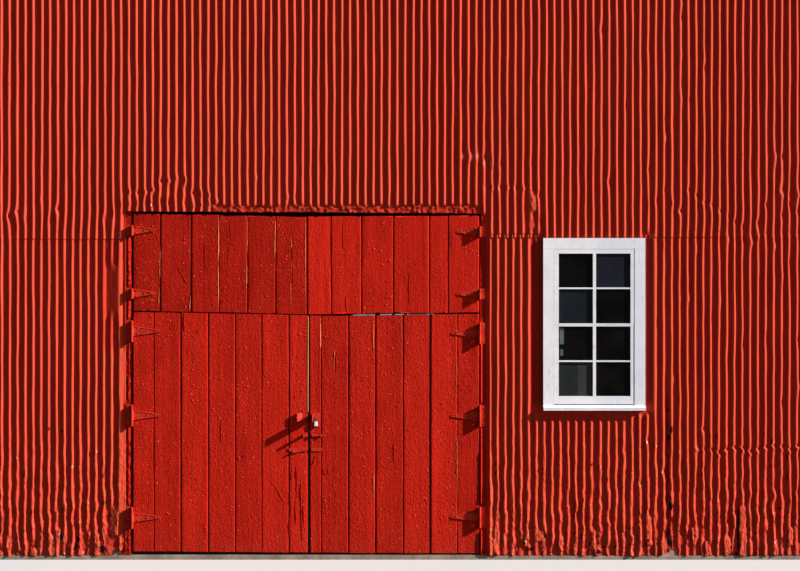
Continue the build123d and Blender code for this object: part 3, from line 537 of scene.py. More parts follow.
# Kinks push the stripes sideways: U, V, width, height, and how far in U, before KINK_STRENGTH
KINKS = (
    (8, 216, 5, 9, -2.2), (16, 212, 5, 8, -1.6), (24, 218, 5, 10, -0.8), (41, 199, 4, 6, -0.7),
    (57, 209, 4, 7, -1.6), (49, 222, 6, 12, -0.9), (105, 220, 4, 7, -2.2), (112, 214, 4, 12, 1.4),
    (121, 205, 4, 8, 0.8), (129, 204, 5, 8, 0.9), (137, 203, 4, 7, 1.0), (145, 204, 4, 7, -0.6),
    (152, 196, 4, 7, -1.2), (153, 205, 4, 4, -0.9), (161, 200, 4, 12, -0.8), (169, 203, 4, 9, -1.2),
    (177, 196, 4, 9, -1.0), (185, 188, 3, 5, 1.4), (185, 203, 4, 7, -1.2), (193, 206, 4, 8, 1.4),
    (201, 204, 4, 8, 1.6), (209, 205, 4, 8, 1.8), (42, 168, 4, 18, -0.4), (185, 168, 3, 20, 0.3),
    (600, 31, 4, 7, -1.4), (648, 46, 4, 8, -0.8), (666, 138, 4, 5, 0.9), (672, 122, 4, 5, -0.8),
    (682, 102, 4, 5, 1.0), (690, 101, 4, 4, -0.9), (704, 60, 4, 8, 1.0), (704, 69, 3, 4, -1.2),
    (681, 20, 4, 30, 0.5), (752, 70, 4, 45, -0.5), (752, 165, 4, 20, -0.6), (608, 182, 4, 9, -1.3),
    (780, 190, 5, 12, -1.6), (790, 195, 5, 12, -1.1), (797, 160, 5, 8, 0.9), (775, 160, 4, 7, 0.8),
    (648, 170, 4, 8, -0.8), (742, 103, 4, 4, -0.7), (626, 106, 3, 4, -0.6), (468, 157, 5, 4, 1.4),
    (484, 156, 5, 4, -1.2), (491.5, 188, 4, 3.5, 1.3), (499.5, 188, 4, 3.5, -1.1), (507.5, 188, 4, 3, 1.2),
    (515.5, 188, 4, 3, -1.1), (523.5, 189, 4, 3.5, 1.3), (129, 192, 4, 3, 1.3), (137, 193, 4, 3, -1.3),
    (145, 193, 4, 3, 1.4), (153, 190, 4, 3, 1.6), (161, 181, 4, 3, -1.5), (169, 181, 4, 2.5, 1.4),
    (177, 178, 4, 3, 1.5), (185, 180, 4, 4, 2.0), (185, 189, 4, 3, -2.2), (193, 193, 4, 3, -1.7),
    (201, 194, 4, 4, 1.6), (209, 195, 4, 4, 1.5), (218, 201, 4, 3, 1.2), (257, 178, 3, 4, 0.9),
    (288, 197, 4, 4, 1.2), (296, 197, 4, 4, -1.0), (476, 157, 4, 4, 1.2), (491, 163, 4, 3.5, 1.2),
    (499, 164, 4, 3, -0.9), (530, 161, 4, 4, -0.9), (531, 198, 4, 4, 1.2), (538, 196, 4, 4, -1.0),
    (687.5, 190, 3, 3.5, -1.2), (695, 195, 3, 3.5, -1.1), (702.5, 202, 3, 3.5, -1.0),
    (710, 205, 3, 3.5, -1.1), (718.3, 211, 3, 3.5, -1.1), (726.7, 216, 3, 3.5, -0.9),
    (734.2, 222, 3, 3.5, -1.2), (742, 227, 3, 3.5, -1.3), (757, 223, 4, 8, -1.6), (766, 205, 3, 5, -1.4),
    (679, 211, 4, 5, -1.8), (671, 203, 4, 5, 1.1), (664, 190, 4, 8, -0.8), (656, 201, 4, 10, -0.9),
    (646, 205, 4, 12, 0.8), (775, 158, 4, 3.5, 1.5), (782, 157, 4, 3.5, -1.3), (782, 196, 4, 6, 1.3),
    (790, 204, 4, 6, -1.5), (798, 195, 4, 7, 1.5), (798, 211, 4, 6, -1.4), (782, 215, 4, 6, -1.2),
    (681, 5, 3, 6, 0.8), (681, 17, 3, 6, -0.8), (681, 55, 3, 8, 0.6), (681, 84, 3, 8, -0.6),
    (678, 399, 4, 3.5, 1.4), (647, 440, 4, 5, -1.5), (702, 429, 4, 5, -1.3), (698, 450, 4, 4, 1.8),
    (706, 471, 4, 7, -1.3), (782, 403, 4, 6, -1.3), (798, 388, 4, 5, 1.4), (639, 483, 4, 5, -1.2),
    (623, 450, 3, 4, -0.9), (663, 471, 4, 6, -1.3), (766, 492, 4, 9, -0.8), (734, 512, 4, 5, -1.2),
    (696, 512, 4, 6, -0.9), (775, 496, 4, 8, 0.9), (790, 500, 4, 8, 1.0), (662, 245, 3, 6, 1.0),
    (658, 322, 3, 3.5, -1.5), (697, 249, 4, 4, 1.5), (683, 297, 3, 4, 0.9), (744, 238, 4, 6, -1.3),
    (752, 243, 4, 6, 1.6), (758, 236, 3, 6, 1.4), (729, 240, 3, 6, 1.2), (721, 242, 3, 8, -0.8),
    (775, 246, 4, 6, 1.2), (782, 276, 4, 12, 1.0), (790, 262, 4, 10, -1.0), (766, 338, 3, 9, -0.9),
    (713, 318, 4, 14, -0.9), (721, 300, 4, 12, 0.9), (743, 344, 4, 7, -1.2), (675, 380, 4, 5, 1.4),
    (798, 340, 4, 8, -1.1), (737, 258, 3, 6, -0.8), (689, 299, 3, 5, 1.1),
)

# Beaten flat: U0, U1, V0, V1, softness in U and V, the share of the waves that stays, and the level in mm
FLATS = (
    (100, 107, 537, 560, 2.0, 2.5, 0.10, 1.0), (531.6, 545, 233, 411, 1.0, 3, 0.26, 1.0),
    (534, 629, 407.5, 420.3, 3, 1.1, 0.08, 4.0), (629, 650, 407.5, 415.0, 3, 1.3, 0.10, 4.0),
    (645.5, 651, 232, 412, 1.5, 3, 0.25, 3.0), (528, 537, 190, 234, 2, 3, 0.35, 8.0),
    (460, 493, 151, 162, 2, 1.5, 0.70, 9.0), (479, 489, 214, 600, 1.0, 3, 0.0, 0.0),
)

# Swellings and dents: U, V, width, height, and mm towards the viewer
SWELLS = (
    (110, 222, 7, 8, 9.0), (118, 216, 5, 9, -6.0), (165, 196, 26, 7, 7.0), (196, 197, 10, 5, -5.0),
    (127, 200, 10, 7, 5.0), (472, 156, 9, 3.5, 6.0), (484, 156, 6, 3.5, -5.0), (532, 205, 6, 9, 9.0),
    (538, 221, 6, 7, -7.0), (777, 160, 4, 8, 7.0), (789, 178, 6, 16, -5.0), (748, 262, 3.2, 15, 4.5),
    (777.5, 303, 3.2, 18, 4.5), (524, 428, 8, 6, -4.0), (20, 214, 12, 9, 4.0), (56, 212, 8, 8, 4.0),
    (668, 470, 5, 40, -5.0), (491, 505, 4, 75, 11.0), (491, 548, 4.5, 16, 18.0),
)

# Creased dents near the ground: U, V, width, height, and mm towards the viewer
CREASES = (
    (9, 541, 3.5, 7, 9.0), (9, 550, 4, 3, -8.0), (34, 552, 5, 5, 8.0), (51, 544, 4, 12, 7.0),
    (61, 537, 3, 4, -9.0), (58, 545, 3, 9, 6.0), (78, 539, 3, 5, -10.0), (81, 548, 3.5, 6, 9.0),
    (97, 545, 5, 12, 8.0), (104, 528, 4, 9, 6.0), (17.5, 457, 3, 4, -4.0), (17.5, 503, 3, 5, -5.0),
    (26, 469, 3, 6, 5.0), (41, 511, 3, 7, -6.0), (50, 508, 3, 7, 6.0), (496, 528, 5, 14, 8.0),
    (527, 541, 5, 5, -10.0), (524, 534, 3.5, 5, 9.0), (539, 535, 4.5, 6, 12.0), (533, 549, 4, 4, -8.0),
    (488, 529, 2.5, 5, 8.0), (561, 543, 3.5, 9, 7.0), (598, 540, 4, 6, -10.0), (593, 549, 4, 5, 8.0),
    (601, 552, 3.5, 4, -9.0), (648, 524, 4, 16, 8.0), (663, 547, 4, 6, 9.0), (671, 506, 3, 6, -9.0),
    (670, 536, 3.5, 9, -9.0), (664, 508, 3, 5, 7.0), (676, 516, 4, 4, 7.0), (727, 541, 3.5, 14, 9.0),
    (742, 532, 4, 22, 11.0), (737, 530, 2.2, 24, -12.0), (690, 530, 3, 6, 6.0), (706, 512, 3, 7, 6.0),
    (775, 537, 3.5, 9, 7.0), (787, 500, 3, 9, 5.0), (659, 443, 3, 3, -5.0), (662, 472, 3, 5, -6.0),
    (562, 497, 3, 6, 5.0), (548, 520, 3, 8, -5.0), (618, 520, 3, 7, 5.0), (631, 538, 3, 8, 6.0),
    (583, 497, 3, 5, -5.0), (704, 433, 3.5, 6, 5.0), (709, 450, 4, 3, -6.0), (720, 462, 3, 6, -4.0),
    (738, 458, 3, 4, -5.0), (698, 449, 3.5, 3, 5.0),
)

# Flattened or bent parts: U0, U1, V0, V1, mm off the wall at the left and right, and mm of crumple
FLAPS = (
    (118.6, 122.4, 238, 347, 25, 14, 1.5), (122.4, 127.6, 238, 347, 1, 14, 0.6),
    (118.8, 127.2, 347, 404, 25, 5, 3), (118.8, 127.2, 428, 512, 25, 5, 2.5),
    (104, 118.5, 533, 557, 6, 3, 3), (106.5, 119.0, 262, 318, 1, 25, 0.6),
    (107.0, 118.6, 506, 536, 1, 23, 1.5), (739, 746.5, 506, 557, 25, 14, 4),
    (523.5, 529, 536, 547, 20, 15, 4), (534.5, 543.5, 529, 541, 25, 13, 4),
    (558.5, 563, 536, 551, 24, 15, 4), (594, 600, 547, 557, 21, 14, 4), (591, 595, 530, 545, 23, 15, 4),
    (646, 651.5, 516, 545, 24, 14, 4), (660.5, 666.5, 539, 557, 23, 13, 4),
    (723.5, 730, 536, 553, 24, 14, 4), (493.5, 498, 524, 552, 24, 14, 4), (773, 777.5, 545, 557, 23, 15, 4),
    (691, 694.5, 528, 544, 23, 15, 4), (704, 708, 541, 557, 22, 15, 4), (48.5, 54.5, 535, 557, 24, 14, 4),
    (56.5, 61, 528, 543, 23, 15, 4), (94, 100, 532, 557, 24, 14, 4), (102, 106.5, 520, 534, 22, 15, 4),
    (31.5, 37, 549, 557, 22, 15, 4), (6, 10.5, 535, 548, 21, 14, 4), (78, 82, 542, 557, 21, 13, 4),
    (788, 793, 527, 545, 23, 14, 4), (531.5, 536.5, 196, 211, 24, 14, 3),
    (646.2, 654.2, 233, 412, 0, 23, 0.2),
)

# Holes and rot, dark: U, V, width and height
ROT = (
    (667, 410, 1.8, 1.2), (671, 430, 1.8, 3.5), (668, 437, 2.2, 2.5), (670.5, 506, 2.4, 4),
    (669.5, 532, 2.0, 4), (670, 542, 1.8, 6), (61, 537, 1.5, 3), (78, 539, 2.0, 3), (76, 545, 1.2, 5),
    (527, 540.5, 2.6, 1.2), (598, 551.5, 2.6, 2.4), (604, 547, 2.5, 0.8), (738, 530, 0.8, 26),
    (531, 549, 2.0, 2.0), (524, 541, 1.0, 2.5), (544.5, 534, 1.2, 4.0), (737, 555, 2.2, 2.5),
    (102, 548, 2.4, 5), (664, 118, 0.8, 1.0), (625, 105, 0.8, 1.0), (682, 102, 0.8, 1.0),
    (690, 101, 0.8, 1.0), (720, 102, 0.7, 0.9), (742, 103, 0.7, 0.9), (648, 540, 1.5, 1.5),
    (62, 431, 1.2, 1.2), (591, 465, 0.9, 1.6), (583, 500, 1.0, 1.8), (49, 429, 1.2, 1.2),
)


# Spans of V over which the lower sheets get worn, crumpled and flat towards the ground
WORN_V, CRUMPLED_V, FOOT_V = (410, 540), (455, 548), (508, 550)

# Where the stripes lean over, as spans of V and U, to the left of the doors and at the far right
LEFT_LEAN_V, LEFT_LEAN_FROM, LEFT_LEAN_TO = (208, 238), (36, 44), (112, 122)
RIGHT_LEAN_V, RIGHT_LEAN_FROM = (214, 238), (672, 684)

# The fold across the right-hand sheets: its middle, and the span of U where it starts
FOLD_U, FOLD_V = 745, 450.5
FOLD_FROM = (688, 697)

# The beaten edge over the doors: spans of U at its ends, of V at its top, its rim, and where it stops
BEATEN_FROM, BEATEN_TO = (208.5, 213.5), (480, 484)
BEATEN_TOP, BEATEN_RIM, BEATEN_END = (203.6, 206.2), 204.6, 220

# The rotted lap: its U, and the span of V where it starts
ROTTED_U, ROTTED_FROM = 667.5, (380, 430)

# How far the stripes lean over towards the lap, and how strongly every kink counts, in U
LEAN_LEFT, LEAN_RIGHT = 1.05, 0.85
KINK_STRENGTH = 1.6

# Where the small scattered dents start, and how far down they reach, in V
DENTS_TOP, DENTS_TALL = 426, 130


def bell(t):
    """1 in the middle, falling off smoothly."""
    return np.exp(-t * t * 2.0)


def crease(t):
    """1 in the middle, falling off from a sharp fold."""
    return np.exp(-1.6 * np.abs(t))


def crest_place(count, crests):
    """U of a crest, from its count."""
    return float(np.interp(count, [c[1] for c in crests], [c[0] for c in crests]))


def scattered_dents(seed, count):
    """Small creased dents on the lower crests, denser towards the ground, some with a nick of painted shade
    on the crest's shaded side, and some with a painted highlight on its lit side.
    """
    rng = random.Random(seed)
    dents, nick_shades, glints = [], [], []
    for _ in range(count):
        crest = crest_place(rng.randint(-4, 105), LOWER_CRESTS)
        u, v = crest + rng.uniform(-1.4, 2.2), DENTS_TOP + DENTS_TALL - DENTS_TALL * rng.random() ** 1.35
        near = (v - DENTS_TOP) / DENTS_TALL
        amount = rng.choice((-1, 1)) * rng.uniform(5.0, 8.0 + 9.0 * near)
        dents.append((u, v, rng.uniform(1.2, 2.4), rng.uniform(1.2, 4.0), amount))
        # a nick of painted shade on the crest's shaded side
        if rng.random() < 0.45:
            place = crest - rng.uniform(0.4, 1.6), v + rng.uniform(-1, 1)
            nick_shades.append((*place, rng.uniform(0.45, 0.8), rng.uniform(0.8, 2.6)))
        # a painted highlight on the crest's lit side
        if rng.random() < 0.22:
            place = crest + rng.uniform(0.2, 1.4), v + rng.uniform(-1, 1)
            glints.append((*place, rng.uniform(0.45, 0.7), rng.uniform(0.6, 1.6)))
    return tuple(dents), tuple(nick_shades), tuple(glints)


DENTS, NICK_SHADES, SPARKS = scattered_dents(31, 430)
CREASES += DENTS
# the nicks are painted shade, drawn as rot
ROT += NICK_SHADES

# Pale spots where folds glint, painted highlights with bare metal where the paint has cracked: U, V, width
# and height
GLINTS = SPARKS + (
    (647, 442, 0.8, 2.2), (662, 472, 0.8, 1.8), (567.6, 485, 0.7, 2.0), (640, 486, 0.7, 1.5),
    (490, 529, 1.3, 0.9), (525.6, 541, 1.6, 1.5), (598.5, 539, 1.2, 2.0), (694, 532.6, 0.8, 1.4),
    (733, 513, 0.7, 2.0), (774.6, 542, 1.0, 2.0), (17, 458, 0.8, 2.0), (21.2, 482.5, 0.7, 0.6),
    (24.5, 468.6, 0.8, 2.2), (64.5, 537, 1.0, 2.0), (59, 534, 1.2, 1.6), (69.5, 545, 1.0, 3.0),
    (84, 552, 1.3, 2.2), (39, 549, 1.0, 2.5), (516.5, 474, 0.6, 0.6), (119.5, 233, 0.9, 2.0),
    (107, 244, 0.6, 2.6), (120.4, 273, 0.8, 2.0), (192.5, 205, 0.7, 2.6), (201, 203, 0.8, 2.6),
    (208.5, 206, 0.8, 3.0), (151.5, 205, 0.8, 1.8), (666, 139, 0.7, 1.6), (671, 130, 0.7, 1.8),
    (491.5, 189, 0.6, 1.1), (499.3, 189, 0.6, 1.0), (507, 188.5, 0.6, 1.0), (515, 188.5, 0.6, 1.0),
    (523, 189, 0.6, 1.1), (530, 198, 0.8, 2.5), (536.5, 205, 0.7, 2.5), (468, 155, 0.8, 1.8),
    (476, 157, 0.7, 1.6), (484, 163, 0.7, 1.4), (491, 163, 0.7, 1.4),
)


def rises(t, edge, soft):
    """From 0 to 1 across an edge."""
    return smooth_step(edge - soft, edge + soft, t)


def fold_shift(u, v):
    """How a fold across the right-hand sheets pushes the stripes, one way above it and back below."""
    middle = FOLD_V + 3.0 * ripple(u, 10.0, 17) - 0.045 * (u - FOLD_U)
    above = bell((v - middle + 1.9) / 1.9)
    below = (0.6 + 0.5 * ripple(u, 12.0, 18)) * bell((v - middle - 2.2) / 2.1)
    return 1.4 * (above - below) * smooth_step(*FOLD_FROM, u) * (0.8 + 0.7 * ripple(u, 8.0, 15))


def stripe_places(u, v, crests, low):
    """U as the stripes have it, which wander, lean over, fold and kink."""
    moved = np.array(u, dtype=float)
    moved = moved - 0.28 * field(u, v, 11.0, 46.0, 3) - 0.14 * field(u, v, 5.0, 9.0, 4)
    bent = 0.45 * field(u, v, STRIPE, 14.0, 5, False)
    bent = bent + 0.65 * np.tanh(7 * field(u, v, STRIPE, 11.0, 6, False))
    moved = moved - low * bent - 0.30 * field(u, v, STRIPE, 19.0, 16, False)
    if crests is UPPER_CRESTS:
        # towards the lap the stripes of the upper sheets lean over to meet those below
        left = LEAN_LEFT * smooth_step(*LEFT_LEAN_V, v) * smooth_step(*LEFT_LEAN_FROM, u)
        left = left * (1 - smooth_step(*LEFT_LEAN_TO, u))
        moved = moved + left + LEAN_RIGHT * smooth_step(*RIGHT_LEAN_V, v) * smooth_step(*RIGHT_LEAN_FROM, u)
    else:
        moved = moved + fold_shift(u, v)
    for ku, kv, wide, high, amount in KINKS:
        moved = moved - KINK_STRENGTH * amount * bell((u - ku) / wide) * crease((v - kv) / high)
    return moved


def beaten(u, v, low):
    """The share of the waves' depth that stays, and how far the sheet is raised, in mm."""
    dented = 0.30 * field(u, v, 8.0, 11.0, 8, False) - 0.22 * (field(u, v, 4.0, 7.0, 19, False) > 0.45)
    keep = 1.0 + 0.10 * field(u, v, 9.0, 40.0, 7) + low * dented
    keep = keep - smooth_step(*FOOT_V, v) * (0.26 + 0.34 * field(u, v, STRIPE, 19.0, 28))
    raised = np.zeros_like(np.asarray(u, dtype=float))
    for u0, u1, v0, v1, soft_u, soft_v, stays, rest in FLATS:
        inside = rises(u, u0, soft_u) * (1 - rises(u, u1, soft_u)) * rises(v, v0, soft_v)
        inside = inside * (1 - rises(v, v1, soft_v))
        crumple = 0.5 * field(u, v, 2.6, 2.2, 12) * (rest > 0)
        keep = keep * (1 - inside * (1 - stays))
        raised = raised + inside * rest * (1 + crumple)
    for su, sv, wide, high, amount in SWELLS:
        raised = raised + amount * bell((u - su) / wide) * bell((v - sv) / high)
    for su, sv, wide, high, amount in CREASES:
        raised = raised + amount * crease((u - su) / wide) * crease((v - sv) / high)
    return keep, raised + low * 3.6 * field(u, v, 7.0, 9.0, 9) + 0.5 * field(u, v, 30.0, 40.0, 10)


def with_beaten_edge(u, v, out):
    """Adds the sheets' edge over the doors, beaten in."""
    across = smooth_step(*BEATEN_FROM, u) * (1 - smooth_step(*BEATEN_TO, u))
    inside = across * smooth_step(*BEATEN_TOP, v + field(u, v, 3.9, 9.0, 25)) * (v < BEATEN_END)
    band = 0.005 + 0.0085 * field(u, v, 2.3, 1.9, 26, False) + 0.0035 * field(u, v, 6.0, 9.0, 29)
    band = band + 0.004 * bell((v - BEATEN_RIM) / 1.6)
    return out * (1 - inside) + band * inside


def with_flaps(u, v, out):
    """Adds the flattened and bent parts, with torn edges."""
    torn = 0.28 * field(u, v, 2.6, 2.2, 41, False)
    for u0, u1, v0, v1, high, deep, crumple in FLAPS:
        ragged = u + torn * crumple
        inside = rises(ragged, u0, 0.6) * (1 - rises(ragged, u1, 0.6)) * rises(v + torn, v0, 3)
        inside = inside * (1 - rises(v, v1, 1))
        slope = high + (deep - high) * (u - u0) / (u1 - u0) + crumple * field(u, v, 1.8, 4.2, 42, False)
        out = out * (1 - inside) + slope / MM_PER_M * inside
    return out


def sheet_surface(u, v, crests, lift):
    """How far the front of a sheet stands off the girts, in metres, at picture places U and V."""
    low = smooth_step(*WORN_V, v)
    moved = stripe_places(u, v, crests, low)
    turns = np.interp(moved, [c[0] for c in crests], [c[1] for c in crests])
    keep, raised = beaten(u, v, low)
    sharpness = CREST_SHARPNESS * (1 + 0.10 * (U_MIDDLE - u) / U_MIDDLE)
    sharpness = sharpness - low * (0.30 + 0.30 * field(u, v, STRIPE, 16.0, 27))
    wave = np.power(0.5 + 0.5 * np.cos(2 * np.pi * turns), sharpness)
    out = 2 * HALF_DEPTH * wave * keep + raised / MM_PER_M
    crumpled = smooth_step(*CRUMPLED_V, v) * smooth_step(-0.25, 0.35, field(u, v, 15.0, 17.0, 24))
    out = out + crumpled * 0.0042 * field(u, v, 2.5, 3.6, 20, False)
    out = with_flaps(u, v, with_beaten_edge(u, v, out))
    return np.maximum(out, 0.0) + GAUGE + lift


def rotten(u, v):
    """How dark a sheet is with rot and with the nicks' painted shade, 0 to 1."""
    edge = 0.35 * field(u, v, 1.6, 1.8, 51)
    most = np.zeros_like(np.asarray(u, dtype=float))
    for ru, rv, wide, high in ROT:
        near = np.hypot((u - ru) / wide, (v - rv) / high)
        most = np.maximum(most, 1 - smooth_step(0.75, 1.1, near + edge))
    lap = bell((u - ROTTED_U - 1.5 * field(u, v, 9.0, 12.0, 52)) / 3.4) * smooth_step(*ROTTED_FROM, v) * 0.45
    return np.maximum(most, lap * (0.6 + 0.6 * field(u, v, 2.2, 3.0, 53)))


def shining(u, v):
    """Where pale spots are painted on the folds, as highlights and as bare metal, 0 to 1."""
    most = np.zeros_like(np.asarray(u, dtype=float))
    for gu, gv, wide, high in GLINTS:
        most = np.maximum(most, 1 - smooth_step(0.5, 1.3, np.hypot((u - gu) / wide, (v - gv) / high)))
    return most


# How high the rows of the sheets' meshes are, each value up to a height above the ground
ROWS = (
    (0.36, 0.0080), (0.62, 0.0125), (0.86, 0.018), (1.02, 0.0080), (1.16, 0.020), (1.30, 0.011),
    (2.68, 0.045), (2.96, 0.020), (3.10, 0.0095), (3.36, 0.020), (WALL_TOP + 1, 0.055),
)


def row_height(z):
    """Height of the mesh row that starts at z."""
    return next(row for limit, row in ROWS if z < limit)


def sheet_grid(x0, x1, bottom, top, crests, lift):
    """Front points of a sheet; bottom and top are functions of x."""
    cols = max(2, int(round((x1 - x0) / SHEET_STEP)) + 1)
    x = np.linspace(x0, x1, cols)
    z0, z1 = float(np.min(bottom(x))), float(np.max(top(x)))
    heights = [z0]
    while heights[-1] < z1:
        heights.append(heights[-1] + row_height(heights[-1]))
    share = (np.array(heights) - z0) / (heights[-1] - z0)
    gx = np.repeat(x[None, :], len(share), 0)
    gz = bottom(gx) + (top(gx) - bottom(gx)) * share[:, None]
    out = sheet_surface(u_of(gx), v_of(gz), crests, lift)
    return np.stack([gx, -out, gz], 2)


def edge_at(z, rough=0.0, seed=1):
    """A level edge of a sheet, straight or rippled."""
    return lambda x: z + rough * ripple(x, 0.045, seed)


# The lowest sheets' edge: U, and mm above the ground
EATEN = (
    (111.5, 36), (113.5, 68), (121, 74), (129, 60), (131.0, 36),
    (660.5, 36), (668.0, 62), (673.0, 92), (678.5, 36),
)


def bottom_edge(x):
    """The lower edge of the lowest sheets, eaten away beside the left jamb and at the rotted lap."""
    line = np.interp(u_of(x), [e[0] for e in EATEN], [e[1] / MM_PER_M for e in EATEN])
    return line + 0.004 * ripple(x, 0.03, 21)


def door_edge(x):
    """The edge over the doors falls a little to the right."""
    line = np.interp(x, [-2.30, 0.69], [3.001, 2.981])
    return line + 0.002 * ripple(x, 0.04, 22)


# Where the sheets end at the doorway
LEFT_JAMB, RIGHT_JAMB = -2.362, 0.743
# Where the sheets end under the casing and below the sill
CASING_LEFT, CASING_RIGHT, BELOW_SILL = 1.237, 2.107, 1.294
# Height of the laps across the wall, how far the lower sheets run up behind them, and a side lap's width
LEFT_LAP, RIGHT_LAP = 2.754, 2.771
LAP, SIDE_LAP = 0.03, 0.022
# How far the upper sheets, the patch and every sheet over its neighbours stand off
UPPER_LIFT, PATCH_LIFT, OVER_LIFT = 0.0010, 0.0030, 0.0009
UPPER_LAPS = (x_at(37.8), x_at(180.2), x_at(409.0), x_at(675.2))
LOWER_LAPS = (x_at(595.5), x_at(667.2))


# Crests in shade, which get neither bleach nor painted highlight: U0, U1, V0, V1
SHADED_CRESTS = (104, 119, 238, 347)
# Painted shade beside the casing: spans of U at its left and right and of V at its top and foot, and its
# reach in U
CASING_SHADE_LEFT, CASING_SHADE_RIGHT, CASING_SHADE_TOP, CASING_SHADE_FOOT = (530.8, 532.2), (652.0, 654.0), (234, 240), (404, 410)
CASING_SHADE_REACH = (530, 560, 640, 655)


def sheet_tone(verts, crests, left, lift):
    """A value for each point: crests bleached with a painted highlight, painted shade beside the casing, rot
    with the nicks' painted shade, and painted highlights where folds glint.
    """
    u, v = u_of(verts[:, 0]), v_of(verts[:, 2])
    # the crests are bleached with a painted highlight, but for those in shade beside the left jamb, and the
    # valleys keep their deep red
    u0, u1, v0, v1 = SHADED_CRESTS
    kept_dark = (u > u0) & (u < u1) & (v > v0) & (v < v1)
    bleached_and_highlit = smooth_step(0.006, 0.017, -verts[:, 1] - lift) * (1 - kept_dark)
    tone = random.Random(int(left * 1000)).uniform(0.0, 0.06) + 0.42 * bleached_and_highlit
    # painted shade beside the casing, where its shadow falls
    first, left_end, right_end, last = CASING_SHADE_REACH
    beside = smooth_step(*CASING_SHADE_LEFT, u) * (u < left_end) + (1 - smooth_step(*CASING_SHADE_RIGHT, u)) * (u > right_end)
    casing_shade = beside * smooth_step(*CASING_SHADE_TOP, v) * (1 - smooth_step(*CASING_SHADE_FOOT, v))
    casing_shade = casing_shade * (crests is LOWER_CRESTS) * (u > first) * (u < last)
    tone = tone * (1 - casing_shade) - 0.05 * casing_shade
    glint = shining(u, v)
    return np.where(glint > 0.1, 1.3 * glint, tone - 1.3 * rotten(u, v))


def sheets(name, replaced, x0, x1, bottom, top, crests, laps, lift):
    """A stretch of cladding in separate sheets, each second one lapped over its neighbours."""
    shape = Shape()
    edges = [x0, *[lap for lap in laps if x0 + 0.05 < lap < x1 - 0.05], x1]
    for i in range(len(edges) - 1):
        over = sum(1 for lap in laps if lap <= edges[i] + 0.01) % 2
        left = edges[i] - (SIDE_LAP if i and over else 0.0)
        right = edges[i + 1] + (SIDE_LAP if i < len(edges) - 2 and over else 0.0)
        front = sheet_grid(left, right, bottom, top, crests, lift + over * OVER_LIFT)
        verts, faces, flags, index = plate(front, GAUGE)
        shape.add(verts, faces, flags, index, sheet_tone(verts, crests, left, lift))
    shape.place(name, [RED_SHEET, ZINC], "wall", "red_sheet", (replaced,))


OVER_LEFT, OVER_RIGHT, WALL_HEAD = edge_at(LEFT_LAP, 0.0015), edge_at(RIGHT_LAP, 0.0015, 2), edge_at(WALL_TOP)
UNDER_LEFT, UNDER_RIGHT, SILL = edge_at(LEFT_LAP + LAP), edge_at(RIGHT_LAP + LAP), edge_at(BELOW_SILL)
UPPER, LOWER = (UPPER_CRESTS, UPPER_LAPS, UPPER_LIFT), (LOWER_CRESTS, LOWER_LAPS, 0.0)
PATCH = edge_at(2.798, 0.004, 5), edge_at(3.211, 0.003, 6), UPPER_CRESTS, (), PATCH_LIFT

# Piece, CAD node, left and right end, lower and upper edge, crests, laps and lift
for stretch in (
    ("upper_left_sheets", "cladding_upper_left", -EDGE, LEFT_JAMB, OVER_LEFT, WALL_HEAD, *UPPER),
    ("over_door_sheets", "cladding_over_doors", LEFT_JAMB, RIGHT_JAMB, door_edge, WALL_HEAD, *UPPER),
    ("upper_right_sheets", "cladding_upper_right", RIGHT_JAMB, EDGE, OVER_RIGHT, WALL_HEAD, *UPPER),
    ("lower_left_sheets", "cladding_lower_left", -EDGE, LEFT_JAMB, bottom_edge, UNDER_LEFT, *LOWER),
    ("door_side_sheets", "cladding_beside_door", RIGHT_JAMB, CASING_LEFT, bottom_edge, UNDER_RIGHT, *LOWER),
    ("under_window_sheets", "cladding_under_window", CASING_LEFT, CASING_RIGHT, bottom_edge, SILL, *LOWER),
    ("lower_right_sheets", "cladding_lower_right", CASING_RIGHT, EDGE, bottom_edge, UNDER_RIGHT, *LOWER),
    ("patch_sheet", "cladding_patch", 0.700, 1.215, *PATCH),
):
    sheets(*stretch)


# Plank doors


class Leaf:
    """A leaf's outline: X of its hinge edge, meeting edge and seams, heights of its ends, and gaps in mm."""

    def __init__(self, hinge, meeting, seams, bottom, top, gaps):
        self.hinge, self.meeting, self.bottom, self.top = hinge, meeting, bottom, top
        self.gaps = (0.0, *[gap / MM_PER_M for gap in gaps], 0.0)
        inner = [(x, x) for x in seams]
        if meeting[0] > hinge:
            self.edges = [(hinge, hinge), *inner, meeting]
        else:
            self.edges = [meeting, *inner, (hinge, hinge)]

    def end(self, ends, x):
        """Height of the bottom or the top at x."""
        return ends[0] + (ends[1] - ends[0]) * (x - self.hinge) / (self.meeting[1] - self.hinge)


FACE_Y, BACK_Y = -0.009, 0.016
ON_FACE = FACE_Y + 0.0004
# The tone of the seams' sides, the plank ends and the backs' chamfers: dirt with painted shade, nearly black
GRIME_AND_SHADE = -1.0
LOWER_LEFT = Leaf(
    -2.300, (-0.797, -0.792), (-2.119, -1.889, -1.652, -1.420, -1.190, -0.957), (0.071, 0.060),
    (2.137, 2.107), (1.5, 9.0, 7.0, 4.5, 2.0, 8.0),
)
LOWER_RIGHT = Leaf(
    0.681, (-0.771, -0.779), (-0.681, -0.444, -0.211, 0.026, 0.262, 0.494), (0.053, 0.060), (2.120, 2.102),
    (4.5, 8.0, 8.0, 7.0, 8.5, 2.0),
)
HATCH_LEFT = Leaf(
    -2.300, (-0.806, -0.806), (-2.064, -1.796, -1.560, -1.315, -1.071), (2.146, 2.116), (2.984, 2.954),
    (4.0, 6.5, 4.0, 5.0, 5.5),
)
HATCH_RIGHT = Leaf(
    0.681, (-0.795, -0.795), (-0.595, -0.334, -0.059, 0.253, 0.415), (2.132, 2.114), (2.965, 2.957),
    (5.0, 4.5, 5.0, 5.5, 4.0),
)

